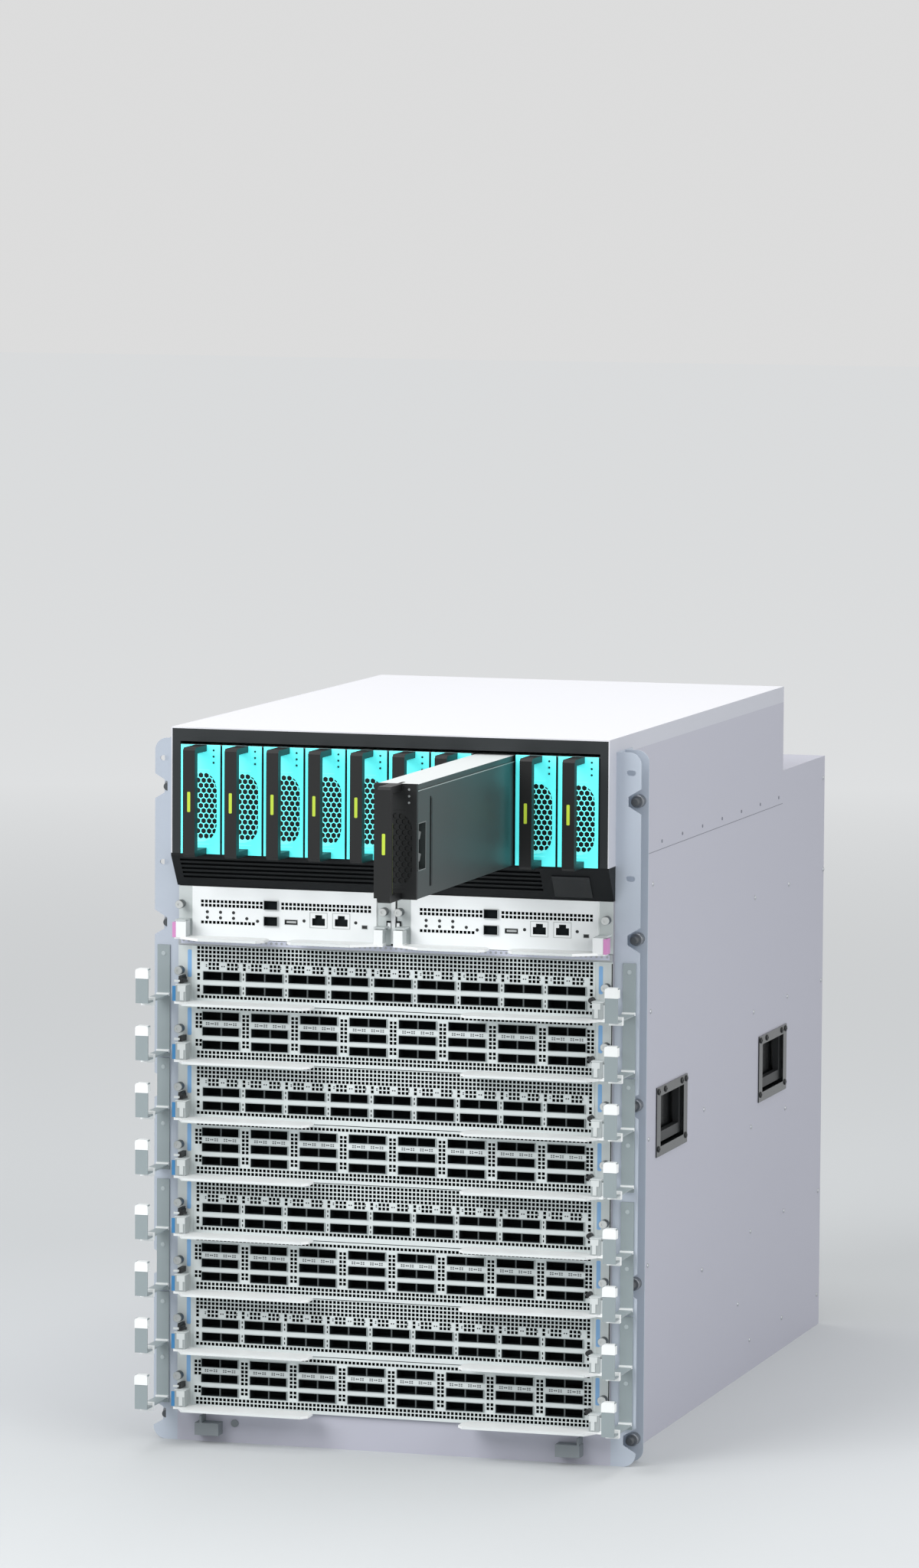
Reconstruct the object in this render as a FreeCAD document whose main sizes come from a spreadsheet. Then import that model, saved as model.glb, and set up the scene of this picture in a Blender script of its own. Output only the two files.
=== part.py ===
import FreeCAD, Part
import math
import os
import re
import Sketcher
from FreeCAD import Vector

# Modular chassis switch: a rack enclosure with ten plug-in supplies across the top, two supervisor
# cards below them, eight line cards in a stack and three fan trays at the back.
# Frame: x to the right, y to the back, z up, origin at the centre of the base, millimetres.
# Pieces are drawn with y = 0 at the front faces of the ears and placed back by half the depth.

doc = FreeCAD.newDocument("chassis_switch")

SIZES = {
    # enclosure
    "body_width": 434, "ear_span": 482.6, "upper_depth": 660, "lower_depth": 845, "step_rise": 34,
    "wall": 1.6, "base_rise": 33, "base_sheet": 1.5, "shelf_rise": 6.6, "supervisor_bay": 50.8,
    "intake_rise": 33, "cover_rise": 16, "cover_sheet": 1.2, "seat_gap": 0.4,
    "bezel_front": 24, "bezel_post": 8, "bezel_lintel": 3, "screw_plane": 30,
    # card cage
    "cage_half": 203, "cage_sheet": 1.4, "cage_depth": 600, "rail_reach": 3, "rail_sheet": 1,
    "shelf_sheet": 1.5,
    # line cards
    "card_pitch": 56.2, "panel_gap": 0.8, "panel_width": 432, "panel_front": 3.6, "panel_sheet": 1.6,
    "tray_depth": 560, "tray_sheet": 1.5, "tray_lip": 14, "tray_gap": 0.7, "slot_gap": 0.6,
    "port_height": 8, "port_depth": 18, "port_wall": 3, "cage_block_depth": 58,
    "pair_width": 36.8, "wide_pitch": 42.94, "wide_top_row": 29.2, "wide_row_step": 13.4,
    "dense_pitch": 49.27, "dense_top_row": 11.9, "dense_second_row": 26.8, "dense_third_row": 39.9,
    "vent_drop": 1, "vent_rise": 14.6, "vent_width": 40.5,
    "sink_width": 96, "sink_depth": 120, "sink_rise": 30, "sink_pitch": 128, "sink_front": 130,
    
    "plug_width": 60, "plug_rise": 26, "plug_seat": 2, "plug_gap": 0.5, 
    # ejector levers
    "lever_inset": 7, "lever_axis": 15, "lever_cam": 6.5, "lever_chamfer": 2.5, "lever_cheek": 4.8,
    "lever_nose": 8, "lever_rise": 16, "lever_sheet": 2.4, "lever_reach": 38, "lever_back": 9,
    "lever_lift": 0.6,
    "lever_length": 128, "lever_bevel": 6, "lever_bevel_depth": 7, "lever_start": 8,
    "pin_radius": 2.05, "pin_gap": 0.35, "pin_depth": 12, "tab_sheet": 1.6, "tab_gap": 0.5,
    "tab_over": 0.5, "tab_front": 4,
    # supervisor cards
    "supervisor_gap": 6, "supervisor_margin": 1, "supervisor_depth": 392,
    "supervisor_lever": 82, "supervisor_start": 24, "supervisor_sink": 26,
    "sfp_width": 13.4, "sfp_height": 8.4, "sfp_step": 15.4, "sfp_across": -13, "sfp_up": 18.4,
    "jack_width": 12.8, "jack_height": 8.1, "jack_across": 34.6, "jack_step": 22.75, "jack_up": 20.4,
    "jack_notch": 5.2, "jack_notch_rise": 2.2, "usb_width": 12.5, "usb_height": 4.4,
    "usb_across": 7, "usb_up": 18.1, "fold_width": 14, "fold_step": 1,
    "supervisor_block_low": 10, "supervisor_block_drop": 8,
    # supply modules
    "supply_pitch": 41.55, "supply_width": 40.2, "supply_height": 104.6, "supply_depth": 450,
    "supply_front": 24.5, "supply_drawn": 318, "face_sheet": 4, "case_inset": 0.8,
    "grip_width": 12, "grip_reach": 36, "grip_bar": 8, "grip_leg": 6, "grip_round": 2.5,
    "vent_across": 32, "vent_tall": 67.4, "vent_low": 11.4, "vent_recess": 1, "ledge_drop": 6.5,
    "window_front": 8, "window_long": 22, "window_low": 26, "window_tall": 42, "window_deep": 34,
    "slot_long": 4, "slot_from_face": 44, "slot_tall": 82, "slot_low": 8, "slot_deep": 3,
    # rack ears and cable guides
    "ear_sheet": 1.5, "ear_top_drop": 13, "ear_round": 12, "ear_return": 26, "notch_depth": 12.5,
    "notch_inner": 9, "notch_mouth": 24, "rack_hole": 3.5, "rack_column": 232.55,
    "oval_column": 231.6, "oval_radius": 2.6, "oval_length": 9,
    "guide_column": 231.8, "guide_width": 12.5, "guide_sheet": 1.5, "guide_reach": 66,
    "guide_first": 465, "guide_step": 54.9, "guide_group_gap": 7.8, "guide_plate_rise": 16.4,
    "hook_rise": 33, "hook_round": 3, "hook_curl": 7, "guide_apart": 1.5,
    # carry handles
    "pan_first": 157.5, "pan_step": 408.5, "pan_long": 117, "pan_tall": 68, "pan_low": 273.5,
    "pan_sheet": 1.2, "pan_margin": 13, "pan_rim": 8, "pan_deep": 12, "bail_thick": 6,
    "bail_grip": 10, "bail_leg": 6, "bail_pivot": 53.5, "bail_low": 12,
    "peg_radius": 2.16, "peg_reach": 0.9, "bail_gap": 0.6,
    # rear
    "midplane_sheet": 3.2, "midplane_inset": 10, "midplane_low": 40, "midplane_high": 560,
    "backplane_sheet": 3,
    "fan_tray_depth": 60, "fan_margin": 4, "fan_low": 34, "fan_high": 592, "fan_radius": 62,
    "fan_pitch": 176, "fan_recess": 20, "pull_long": 44, "pull_reach": 16,
    "pull_bar": 6, "inlet_width": 30, "inlet_height": 24, "inlet_depth": 32, "inlet_lip": 2,
    "inlet_rise": 50,
    # small fittings of the base panel and the status screen
    "screen_width": 37, "screen_tall": 25, "screen_sheet": 1.2, "screen_across": 178.5,
    "slat_pitch": 5.2, "slat_gap": 2.6, "slat_start": 3.6, "intake_lip": 2.4,
    "screen_drop": 20.2, "slat_deep": 3, "slat_left": 209, "slat_right": 149,
    "jack_plug_radius": 3.6, "jack_plug_across": 158.5, "jack_plug_up": 19, "clip_width": 24,
    "clip_rise": 12, "clip_reach": 14, "clip_up": 8.2, "clip_left": 183, "clip_right": 178,
    "clip_plate": 2, "clip_plate_rise": 19, "clip_plate_left": 6, "clip_plate_right": 10.3,
}
CARDS, SUPPLIES, FAN_TRAYS, FANS, SLATS = 8, 10, 3, 3, 5
# sides that stand for a round edge where it repeats often
PIN_SIDES, FAN_SIDES, SLOT_SIDES = 8, 24, 8
# share of a corner's radius at which its middle point lies
BEVEL = 0.293
# how far a cut runs past the face that it opens, and how deep a form sinks into what it is joined to
PAST, WELD = 1, 0.1
RACK_HEIGHTS = (634.5, 503, 345, 173, 25)
OVAL_HEIGHTS = (661.5, 561.4)

# levels and positions that follow from the sizes, each written once
LEVELS = {
    "half_width": "body_width / 2", "inner_half": "half_width - wall",
    "cage_top": f"base_rise + {CARDS} * card_pitch", "supervisor_low": "cage_top + shelf_rise",
    "intake_low": "supervisor_low + supervisor_bay", "supply_low": "intake_low + intake_rise",
    "supply_top": "supply_low + supply_height", "seam": "supply_top + seat_gap",
    "body_top": "seam + cover_rise", "step_top": "supply_low + step_rise",
    "tray_half": "cage_half - tray_gap", "panel_height": "card_pitch - panel_gap",
    "panel_half": "panel_width / 2", "panel_back": "panel_front - panel_sheet",
    "lever_pivot": "panel_half - lever_inset", "midplane_front": "cage_depth - midplane_inset",
    "guide_plate_height": "2 * guide_step - guide_apart",
    "supervisor_width": "(panel_width - supervisor_gap) / 2",
    "supervisor_height": "supervisor_bay - supervisor_margin",
    "supervisor_pivot": "supervisor_width / 2 - lever_inset",
    "supply_left": f"-({SUPPLIES} - 1) / 2 * supply_pitch", "fan_span": f"2 * inner_half / {FAN_TRAYS}",
    "intake_back": "panel_front",
    "intake_run": "bezel_front - intake_back", "intake_drop": "intake_rise - intake_lip",
    "intake_slope": "sqrt(intake_run ^ 2 + intake_drop ^ 2)",
}


def make_sheet():
    sheet = doc.addObject("Spreadsheet::Sheet", "sizes")
    sheet.Label = "sizes"
    for row, (alias, value) in enumerate(SIZES.items(), 1):
        sheet.set(f"A{row}", alias)
        sheet.set(f"B{row}", str(value))
        sheet.setAlias(f"B{row}", alias)
    doc.recompute()
    return sheet


sheet = make_sheet()


def bind(text):
    """A formula in plain size names, written out for the expression engine."""
    def swap(match):
        word = match.group()
        if word in LEVELS:
            return f"({bind(LEVELS[word])})"
        return f"sizes.{word}" if word in SIZES else word
    return re.sub(r"[a-z_][a-z_0-9]*", swap, str(text))


probe = doc.addObject("App::FeaturePython", "probe")


def number(text):
    return float(probe.evalExpression(bind(text)))


def tie(item, prop, text):
    item.setExpression(prop, bind(text))


# Each plane: its role, the sign of its offset, and whether a pad along the frame's axis is reversed
PLANES = {"XY": ("XY_Plane", 1, False), "XZ": ("XZ_Plane", -1, True), "YZ": ("YZ_Plane", 1, False)}


def new_body(name):
    body = doc.addObject("PartDesign::Body", name)
    body.Label = name
    return body


def place(item, x="0", y="-lower_depth / 2", z="0"):
    for axis, text in (("x", x), ("y", y), ("z", z)):
        tie(item, f"Placement.Base.{axis}", text)
    return item


def draw_loop(sketch, points):
    """A closed outline whose every corner is tied to the sheet."""
    first, base, count = sketch.GeometryCount, sketch.ConstraintCount, len(points)
    corners = [Vector(number(a), number(b), 0) for a, b in points]
    sketch.addGeometry([Part.LineSegment(corners[i], corners[(i + 1) % count])
                        for i in range(count)], False)
    rules = [Sketcher.Constraint("Coincident", first + i, 2, first + (i + 1) % count, 1)
             for i in range(count)]
    for i, corner in enumerate(corners):
        rules.append(Sketcher.Constraint("DistanceX", -1, 1, first + i, 1, corner.x))
        rules.append(Sketcher.Constraint("DistanceY", -1, 1, first + i, 1, corner.y))
    sketch.addConstraint(rules)
    for i, (a, b) in enumerate(points):
        sketch.setExpression(f"Constraints[{base + count + 2 * i}]", bind(a))
        sketch.setExpression(f"Constraints[{base + count + 2 * i + 1}]", bind(b))


def draw_circle(sketch, across, up, radius):
    first, base = sketch.GeometryCount, sketch.ConstraintCount
    centre = Vector(number(across), number(up), 0)
    sketch.addGeometry(Part.Circle(centre, Vector(0, 0, 1), number(radius)), False)
    sketch.addConstraint([
        Sketcher.Constraint("DistanceX", -1, 1, first, 3, centre.x),
        Sketcher.Constraint("DistanceY", -1, 1, first, 3, centre.y),
        Sketcher.Constraint("Radius", first, number(radius))])
    for i, text in enumerate((across, up, radius)):
        sketch.setExpression(f"Constraints[{base + i}]", bind(text))


def box(left, right, low, high):
    return [(left, low), (right, low), (right, high), (left, high)]


def many_sided(across, up, radius, sides):
    """A round outline drawn with straight sides, its corners on the circle."""
    turns = [2 * math.pi * (i + 0.5) / sides for i in range(sides)]
    return [(f"{across} + ({radius}) * {math.cos(turn):.6f}", f"{up} + ({radius}) * {math.sin(turn):.6f}")
            for turn in turns]


def pin_hole(across, up, radius):
    """The outline of a hole whose flats clear a pin of that radius all round."""
    spread = 1 / math.cos(math.pi / PIN_SIDES)
    return many_sided(across, up, f"({radius} + pin_gap) * {spread:.6f}", PIN_SIDES)


def round_ended(across, up, radius, straight, sides):
    """An upright slot whose two ends are drawn with straight sides."""
    ends = [(math.pi * i / sides, "+") for i in range(sides + 1)]
    ends += [(math.pi * (1 + i / sides), "-") for i in range(sides + 1)]
    return [(f"{across} + ({radius}) * {math.cos(turn):.6f}",
             f"{up} {sign} ({straight}) / 2 + ({radius}) * {math.sin(turn):.6f}") for turn, sign in ends]


def new_sketch(body, name, plane, at, loops):
    role, sign, _ = PLANES[plane]
    sketch = body.newObject("Sketcher::SketchObject", name)
    origin = [item for item in body.Origin.OriginFeatures if item.Role == role][0]
    sketch.AttachmentSupport = [(origin, "")]
    sketch.MapMode = "FlatFace"
    tie(sketch, "AttachmentOffset.Base.z", f"{sign} * ({at})")
    for loop in loops:
        if loop[0] == "circle":
            draw_circle(sketch, *loop[1:])
        else:
            draw_loop(sketch, loop)
    return sketch


def add(body, name, plane, start, length, *loops):
    """Material from start to start + length along the plane's axis."""
    sketch = new_sketch(body, name + "_sketch", plane, start, loops)
    pad = body.newObject("PartDesign::Pad", name)
    pad.Profile = sketch
    pad.Reversed = PLANES[plane][2]
    tie(pad, "Length", length)
    return pad


def remove(body, name, plane, start, length, *loops):
    """A cut from start to start + length along the plane's axis."""
    sketch = new_sketch(body, name + "_sketch", plane, start, loops)
    pocket = body.newObject("PartDesign::Pocket", name)
    pocket.Profile = sketch
    pocket.Reversed = not PLANES[plane][2]
    tie(pocket, "Length", length)
    return pocket


def repeat(body, feature, axis, count, step):
    pattern = body.newObject("PartDesign::LinearPattern", f"{feature.Name}_row")
    pattern.Originals = [feature]
    along = [item for item in body.Origin.OriginFeatures if item.Role == f"{axis}_Axis"][0]
    pattern.Direction = (along, [""])
    tie(pattern, "Length", f"({count} - 1) * ({step})")
    pattern.Occurrences = count
    body.Tip = pattern
    return pattern


def edges_where(shape, test):
    return [f"Edge{i}" for i, edge in enumerate(shape.Edges, 1) if test(edge)]


def soften(body, name, radius, test):
    """Rounds the edges of the body so far that pass the test."""
    base = body.Tip
    base.recompute(True)
    names = edges_where(base.Shape, test)
    if not names:
        raise RuntimeError(f"{body.Label}: {name} finds no edge")
    fillet = body.newObject("PartDesign::Fillet", name)
    fillet.Base = (base, names)
    tie(fillet, "Radius", radius)
    body.Tip = fillet
    return fillet


def runs_along(edge, direction):
    if edge.Curve.TypeId != "Part::GeomLine":
        return False
    span = edge.Vertexes[-1].Point - edge.Vertexes[0].Point
    return abs(span.normalize().dot(direction)) > 0.999


def mirrored(name, source, across="0"):
    """The opposite hand of a piece, through an upright plane at x = across."""
    twin = doc.addObject("Part::Mirroring", name)
    twin.Label = name
    twin.Source = source
    twin.Normal = Vector(1, 0, 0)
    tie(twin, "Base.x", across)
    return twin


def group(name, items):
    whole = doc.addObject("Part::Compound", name)
    whole.Label = name
    whole.Links = items
    return whole


# chassis

def chassis_shell():
    body = place(new_body("chassis_shell"))
    add(body, "walls", "YZ", "-half_width", "body_width",
        [("0", "0"), ("lower_depth", "0"), ("lower_depth", "step_top"), ("upper_depth", "step_top"),
         ("upper_depth", "seam"), ("0", "seam")])
    # one hollow from the card cage up to the open top, another under the cage floor
    remove(body, "hollow", "YZ", "-inner_half", "2 * inner_half",
           [("wall", "base_rise - seat_gap"), ("lower_depth - wall", "base_rise - seat_gap"),
            ("lower_depth - wall", "step_top - wall"), ("upper_depth - wall", "step_top - wall"),
            ("upper_depth - wall", f"seam + {PAST}"), ("wall", f"seam + {PAST}")])
    remove(body, "plinth", "YZ", "-inner_half", "2 * inner_half",
           box("wall", "lower_depth - wall", "-1", "base_rise - seat_gap - wall"))
    # the front is open between two flanges beside the cards, and right across from the intake up
    remove(body, "card_mouth", "XZ", "-1", f"wall + {2 * PAST}",
           box("-cage_half", "cage_half", "base_rise - seat_gap", "supervisor_low + seat_gap"))
    remove(body, "upper_mouth", "XZ", "-1", f"wall + {2 * PAST}",
           box("-inner_half", "inner_half", "supervisor_low", f"seam + {PAST}"))
    # windows at the back for the fan trays and for the power inlets
    tray = remove(body, "fan_window", "XZ", f"lower_depth - wall - {PAST}", f"wall + {2 * PAST}",
                  box("-inner_half + fan_margin", "-inner_half + fan_span - fan_margin",
                      "fan_low + fan_margin", "fan_high - fan_margin"))
    repeat(body, tray, "X", FAN_TRAYS, "fan_span")
    inlet = remove(body, "inlet_window", "XZ", f"upper_depth - wall - {PAST}", f"wall + {2 * PAST}",
                   box("supply_left - inlet_width / 2 - seat_gap",
                       "supply_left + inlet_width / 2 + seat_gap",
                       "supply_low + inlet_rise - seat_gap",
                       "supply_low + inlet_rise + inlet_height + seat_gap"))
    repeat(body, inlet, "X", SUPPLIES, "supply_pitch")
    # openings in both sides for the carry handle pans
    pan = remove(body, "pan_window", "YZ", f"-half_width - {PAST}", f"body_width + {2 * PAST}",
                 box("pan_first + pan_margin - seat_gap",
                     "pan_first + pan_long - pan_margin + seat_gap",
                     "pan_low + pan_rim - seat_gap", "pan_low + pan_tall - pan_rim + seat_gap"))
    repeat(body, pan, "Y", 2, "pan_step")
    return body


def base_plate():
    body = place(new_body("base_plate"))
    add(body, "sheet", "XY", "0", "base_sheet",
        box("-inner_half", "inner_half", "wall", "lower_depth - wall"))
    return body


def card_cage():
    """Welded inner frame: two side plates with a rail for each card, and the shelves above."""
    body = place(new_body("card_cage"))
    high = "supply_low - seat_gap"
    plate, inner = "cage_half + cage_sheet", "cage_half - rail_reach"
    comb = [(plate, "base_rise - seat_gap"), (plate, high), ("cage_half", high)]
    for i in range(CARDS):
        rail = f"base_rise - seat_gap + ({CARDS} - 1 - {i}) * card_pitch"
        comb += [("cage_half", f"{rail} + rail_sheet"), (inner, f"{rail} + rail_sheet"), (inner, rail),
                 ("cage_half", rail)]
    comb.pop()
    add(body, "plates", "XZ", "wall", "cage_depth - wall", comb,
        [(f"-({across})", up) for across, up in comb])
    add(body, "supply_shelf", "XY", f"{high} - shelf_sheet", "shelf_sheet",
        box("-inner_half + seat_gap", "inner_half - seat_gap", "0", "cage_depth"))
    add(body, "supervisor_shelf", "XY", "supervisor_low - shelf_sheet", "shelf_sheet",
        box("-cage_half", "cage_half", "2 * wall", "midplane_front - seat_gap"))
    add(body, "supervisor_shelf_lip", "XZ", "-panel_front", "panel_front + 3 * wall",
        box("-cage_half", "cage_half", "cage_top", "supervisor_low"))
    add(body, "shelf_strip", "XZ", "-panel_front", "panel_sheet",
        box("-panel_half", "panel_half", "cage_top", "supervisor_low"))
    return body


def top_cover():
    body = place(new_body("top_cover"))
    add(body, "cap", "XY", "seam", "cover_rise",
        box("-half_width", "half_width", "-bezel_front", "upper_depth"))
    remove(body, "inside", "XY", f"seam - {PAST}", "cover_rise + 1 - cover_sheet",
           box("-half_width + cover_sheet", "half_width - cover_sheet", f"-bezel_front - {PAST}",
               "upper_depth - cover_sheet"))
    # aprons run down beside the supply bay, in front of the side walls
    add(body, "aprons", "XY", "supply_low", f"seam - supply_low + {PAST}",
        box("-half_width", "-half_width + cover_sheet", "-bezel_front", "0"),
        box("half_width - cover_sheet", "half_width", "-bezel_front", "0"))
    return body


def front_bezel():
    body = place(new_body("front_bezel"))
    outer, inner = "(half_width - cover_sheet)", "(half_width - cover_sheet - bezel_post)"
    add(body, "frame", "XZ", "-bezel_front", "bezel_front",
        [(f"-{outer}", "supply_low"), (f"-{inner}", "supply_low"), (f"-{inner}", "supply_top + bezel_lintel"),
         (inner, "supply_top + bezel_lintel"), (inner, "supply_low"), (outer, "supply_low"),
         (outer, "body_top - cover_sheet"), (f"-{outer}", "body_top - cover_sheet")])
    return body


def on_slope(down, out="0"):
    """A point at a distance down the intake's slope, standing a little proud of it or under it."""
    return (f"-bezel_front + (intake_run * ({down}) - intake_drop * ({out})) / intake_slope",
            f"supply_low - intake_lip - (intake_drop * ({down}) + intake_run * ({out})) / intake_slope")


def intake_grille():
    """Sloping moulding that draws air in below the supplies, with level slots along its slope."""
    body = place(new_body("intake_grille"))
    add(body, "wedge", "YZ", "-half_width", "body_width",
        [("-bezel_front", "supply_low"), ("-bezel_front", "supply_low - intake_lip"),
         ("-intake_back", "intake_low"), ("0", "intake_low"), ("0", "supply_low")])
    loops = []
    for i in range(SLATS):
        top = on_slope(f"slat_start + {i} * slat_pitch")
        end = on_slope(f"slat_start + {i} * slat_pitch + slat_gap")
        loops.append([(f"{top[0]} - slat_gap", top[1]), (f"{top[0]} + slat_deep", top[1]),
                      (f"{end[0]} + slat_deep", end[1]), (f"{end[0]} - slat_gap", end[1])])
    remove(body, "slots", "YZ", "-slat_left", "slat_left + slat_right", *loops)
    return body


def status_screen():
    """Small display lying on the grille's slope."""
    body = place(new_body("status_screen"))
    high, low = "screen_drop - screen_tall / 2", "screen_drop + screen_tall / 2"
    add(body, "panel", "YZ", "screen_across - screen_width / 2", "screen_width",
        [on_slope(low), on_slope(high), on_slope(high, "screen_sheet"), on_slope(low, "screen_sheet")])
    return body


# rack ears and cable guides

def ear_plate(name, plane_y, notched):
    """Upright flange on the right side: a face plate with a return along the side wall."""
    body = new_body(name)
    top = "body_top - ear_top_drop"
    add(body, "face", "XZ", plane_y, "ear_sheet", box("half_width", "ear_span / 2", "0", top))
    if not notched:
        add(body, "return", "XZ", plane_y, "ear_return",
            box("half_width", "half_width + ear_sheet", "0", top))
        remove(body, "rack_holes", "XZ", f"{plane_y} - {PAST}", f"ear_sheet + {2 * PAST}",
               *[("circle", "rack_column", z, "rack_hole") for z in RACK_HEIGHTS])
    else:
        add(body, "return", "XZ", plane_y, "ear_return",
            box("half_width", "half_width + ear_sheet", "0", top))
        out = "(ear_span / 2)"
        remove(body, "notches", "XZ", f"{plane_y} - {PAST}", f"ear_sheet + {2 * PAST}",
               *[[(f"{out} + {PAST}", f"{z} - notch_mouth / 2"), (out, f"{z} - notch_mouth / 2"),
                  (f"{out} - notch_depth", f"{z} - notch_inner / 2"),
                  (f"{out} - notch_depth", f"{z} + notch_inner / 2"),
                  (out, f"{z} + notch_mouth / 2"), (f"{out} + {PAST}", f"{z} + notch_mouth / 2")]
                 for z in RACK_HEIGHTS])
        remove(body, "ovals", "XZ", f"{plane_y} - {PAST}", f"ear_sheet + {2 * PAST}",
               *[[(b, a) for a, b in round_ended(z, "oval_column", "oval_radius",
                                                 "oval_length - 2 * oval_radius", SLOT_SIDES)]
                 for z in OVAL_HEIGHTS])
    edge, ends = number("ear_span / 2"), (0, number(top))
    soften(body, "rounding", "ear_round",
           lambda e: runs_along(e, Vector(0, 1, 0)) and abs(e.Vertexes[0].X - edge) < 0.01
           and min(abs(e.Vertexes[0].Z - end) for end in ends) < 0.01)
    return place(body)


def rack_ears():
    front = ear_plate("front_plate", "0", True)
    back = ear_plate("rack_flange", "screw_plane - ear_sheet", False)
    return group("rack_ears", [front, back, mirrored("front_plate_twin", front),
                               mirrored("rack_flange_twin", back)])


def cable_guide(index):
    """Plate on the right ear that carries two hooks: a level arm, a round corner and a tab."""
    body = new_body(f"guide_{index + 1}")
    first = f"(guide_first - {2 * index} * guide_step - {index // 2} * guide_group_gap)"
    left, right = "(guide_column - guide_width / 2)", "(guide_column + guide_width / 2)"
    plate_top = f"({first} + guide_plate_rise)"
    add(body, "plate", "XZ", "-guide_sheet", "guide_sheet",
        box(left, right, f"{plate_top} - guide_plate_height", plate_top))
    for k in range(2):
        top = f"({first} - {k} * guide_step)"
        low = f"({top} - hook_rise)"
        add(body, f"hook_{k + 1}", "YZ", left, "guide_width",
            [("0 - guide_sheet / 2", low), ("0 - guide_sheet / 2", f"{low} + guide_sheet"),
             ("-guide_reach + guide_sheet", f"{low} + guide_sheet"),
             ("-guide_reach + guide_sheet", f"{top} - guide_sheet"),
             ("-guide_reach + hook_curl", f"{top} - guide_sheet"), ("-guide_reach + hook_curl", top),
             ("-guide_reach + hook_round", top),
             (f"-guide_reach + {BEVEL} * hook_round", f"{top} - {BEVEL} * hook_round"),
             ("-guide_reach", f"{top} - hook_round"), ("-guide_reach", low)])
    return place(body)


def cable_guides():
    right = [cable_guide(i) for i in range(CARDS // 2)]
    left = [mirrored(f"guide_{i + 1}_twin", item) for i, item in enumerate(right)]
    return group("cable_guides", right + left)


# line cards

def line_card(index):
    """Tray with a front panel, port cages behind it, heat sinks and rear plugs."""
    wide = index % 2 == 0
    body = new_body(f"line_card_{index + 1}")
    floor = "(slot_gap + seat_gap)"
    add(body, "tray", "XZ", f"-panel_back - {WELD}", f"tray_depth + panel_back + {WELD}",
        [("-tray_half", floor), ("tray_half", floor), ("tray_half", f"{floor} + tray_lip"),
         ("tray_half - tray_sheet", f"{floor} + tray_lip"),
         ("tray_half - tray_sheet", f"{floor} + tray_sheet"),
         ("-tray_half + tray_sheet", f"{floor} + tray_sheet"),
         ("-tray_half + tray_sheet", f"{floor} + tray_lip"), ("-tray_half", f"{floor} + tray_lip")])
    add(body, "panel", "XZ", "-panel_front", "panel_sheet",
        box("-panel_half", "panel_half", "0", "panel_height"))
    if wide:
        count, pitch = 9, "wide_pitch"
        rows = ["wide_top_row", "(wide_top_row + wide_row_step)"]
    else:
        count, pitch = 8, "dense_pitch"
        rows = ["dense_top_row", "dense_second_row", "dense_third_row"]
    first = f"(-({count} - 1) / 2 * {pitch} - pair_width / 2)"
    top, bottom = f"(panel_height - {rows[0]})", f"(panel_height - {rows[-1]})"
    reach = "(port_height / 2 + port_wall)"
    add(body, "port_cages", "XZ", f"-panel_back - {WELD}", "cage_block_depth",
        box(f"{first} - port_wall", f"-{first} + port_wall", f"{bottom} - {reach}",
            f"{top} + {reach}"))
    base = f"({floor} + tray_sheet / 2)"
    sink = add(body, "heat_sink", "XY", base, "sink_rise",
               box("-sink_pitch - sink_width / 2", "-sink_pitch + sink_width / 2",
                   "sink_front", "sink_front + sink_depth"))
    repeat(body, sink, "X", 3, "sink_pitch")
    plug = add(body, "rear_plug", "XZ", "tray_depth - plug_seat",
               "midplane_front - tray_depth + plug_seat - plug_gap",
               box("-sink_pitch - plug_width / 2", "-sink_pitch + plug_width / 2", base,
                   f"{base} + plug_rise"))
    repeat(body, plug, "X", 3, "sink_pitch")
    add_lever_tabs(body, "panel_half", "lever_pivot")
    port = remove(body, "ports", "XZ", "-panel_front", "port_depth",
                  *[box(first, f"{first} + pair_width", f"panel_height - {row} - port_height / 2",
                        f"panel_height - {row} + port_height / 2") for row in rows])
    repeat(body, port, "X", count, pitch)
    if wide:
        vent = remove(body, "vents", "XZ", f"-panel_front - {PAST}", f"panel_sheet + {2 * PAST}",
                      box(f"-({count} - 1) / 2 * {pitch} - vent_width / 2",
                          f"-({count} - 1) / 2 * {pitch} + vent_width / 2",
                          "panel_height - vent_drop - vent_rise", "panel_height - vent_drop"))
        repeat(body, vent, "X", count, pitch)
    return place(body, z=f"base_rise + ({CARDS} - 1 - {index}) * card_pitch + panel_gap / 2")


def add_lever_tabs(body, half, pivot):
    """Folded tabs over both levers, each with the pin that its lever turns on."""
    tab = "(lever_lift + lever_rise + tab_gap)"
    wide = "(lever_cheek + tab_over)"
    add(body, "lever_tabs", "XY", tab, "tab_sheet",
        *[box(f"{s} * {pivot} - {wide}", f"{s} * {pivot} + {wide}",
              "-lever_axis - tab_front", f"-panel_back - {WELD}") for s in ("1", "-1")])
    add(body, "lever_pins", "XY", f"{tab} - pin_depth", "pin_depth + tab_sheet / 2",
        *[many_sided(f"{s} * {pivot}", "-lever_axis", "pin_radius", PIN_SIDES) for s in ("1", "-1")])


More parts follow.
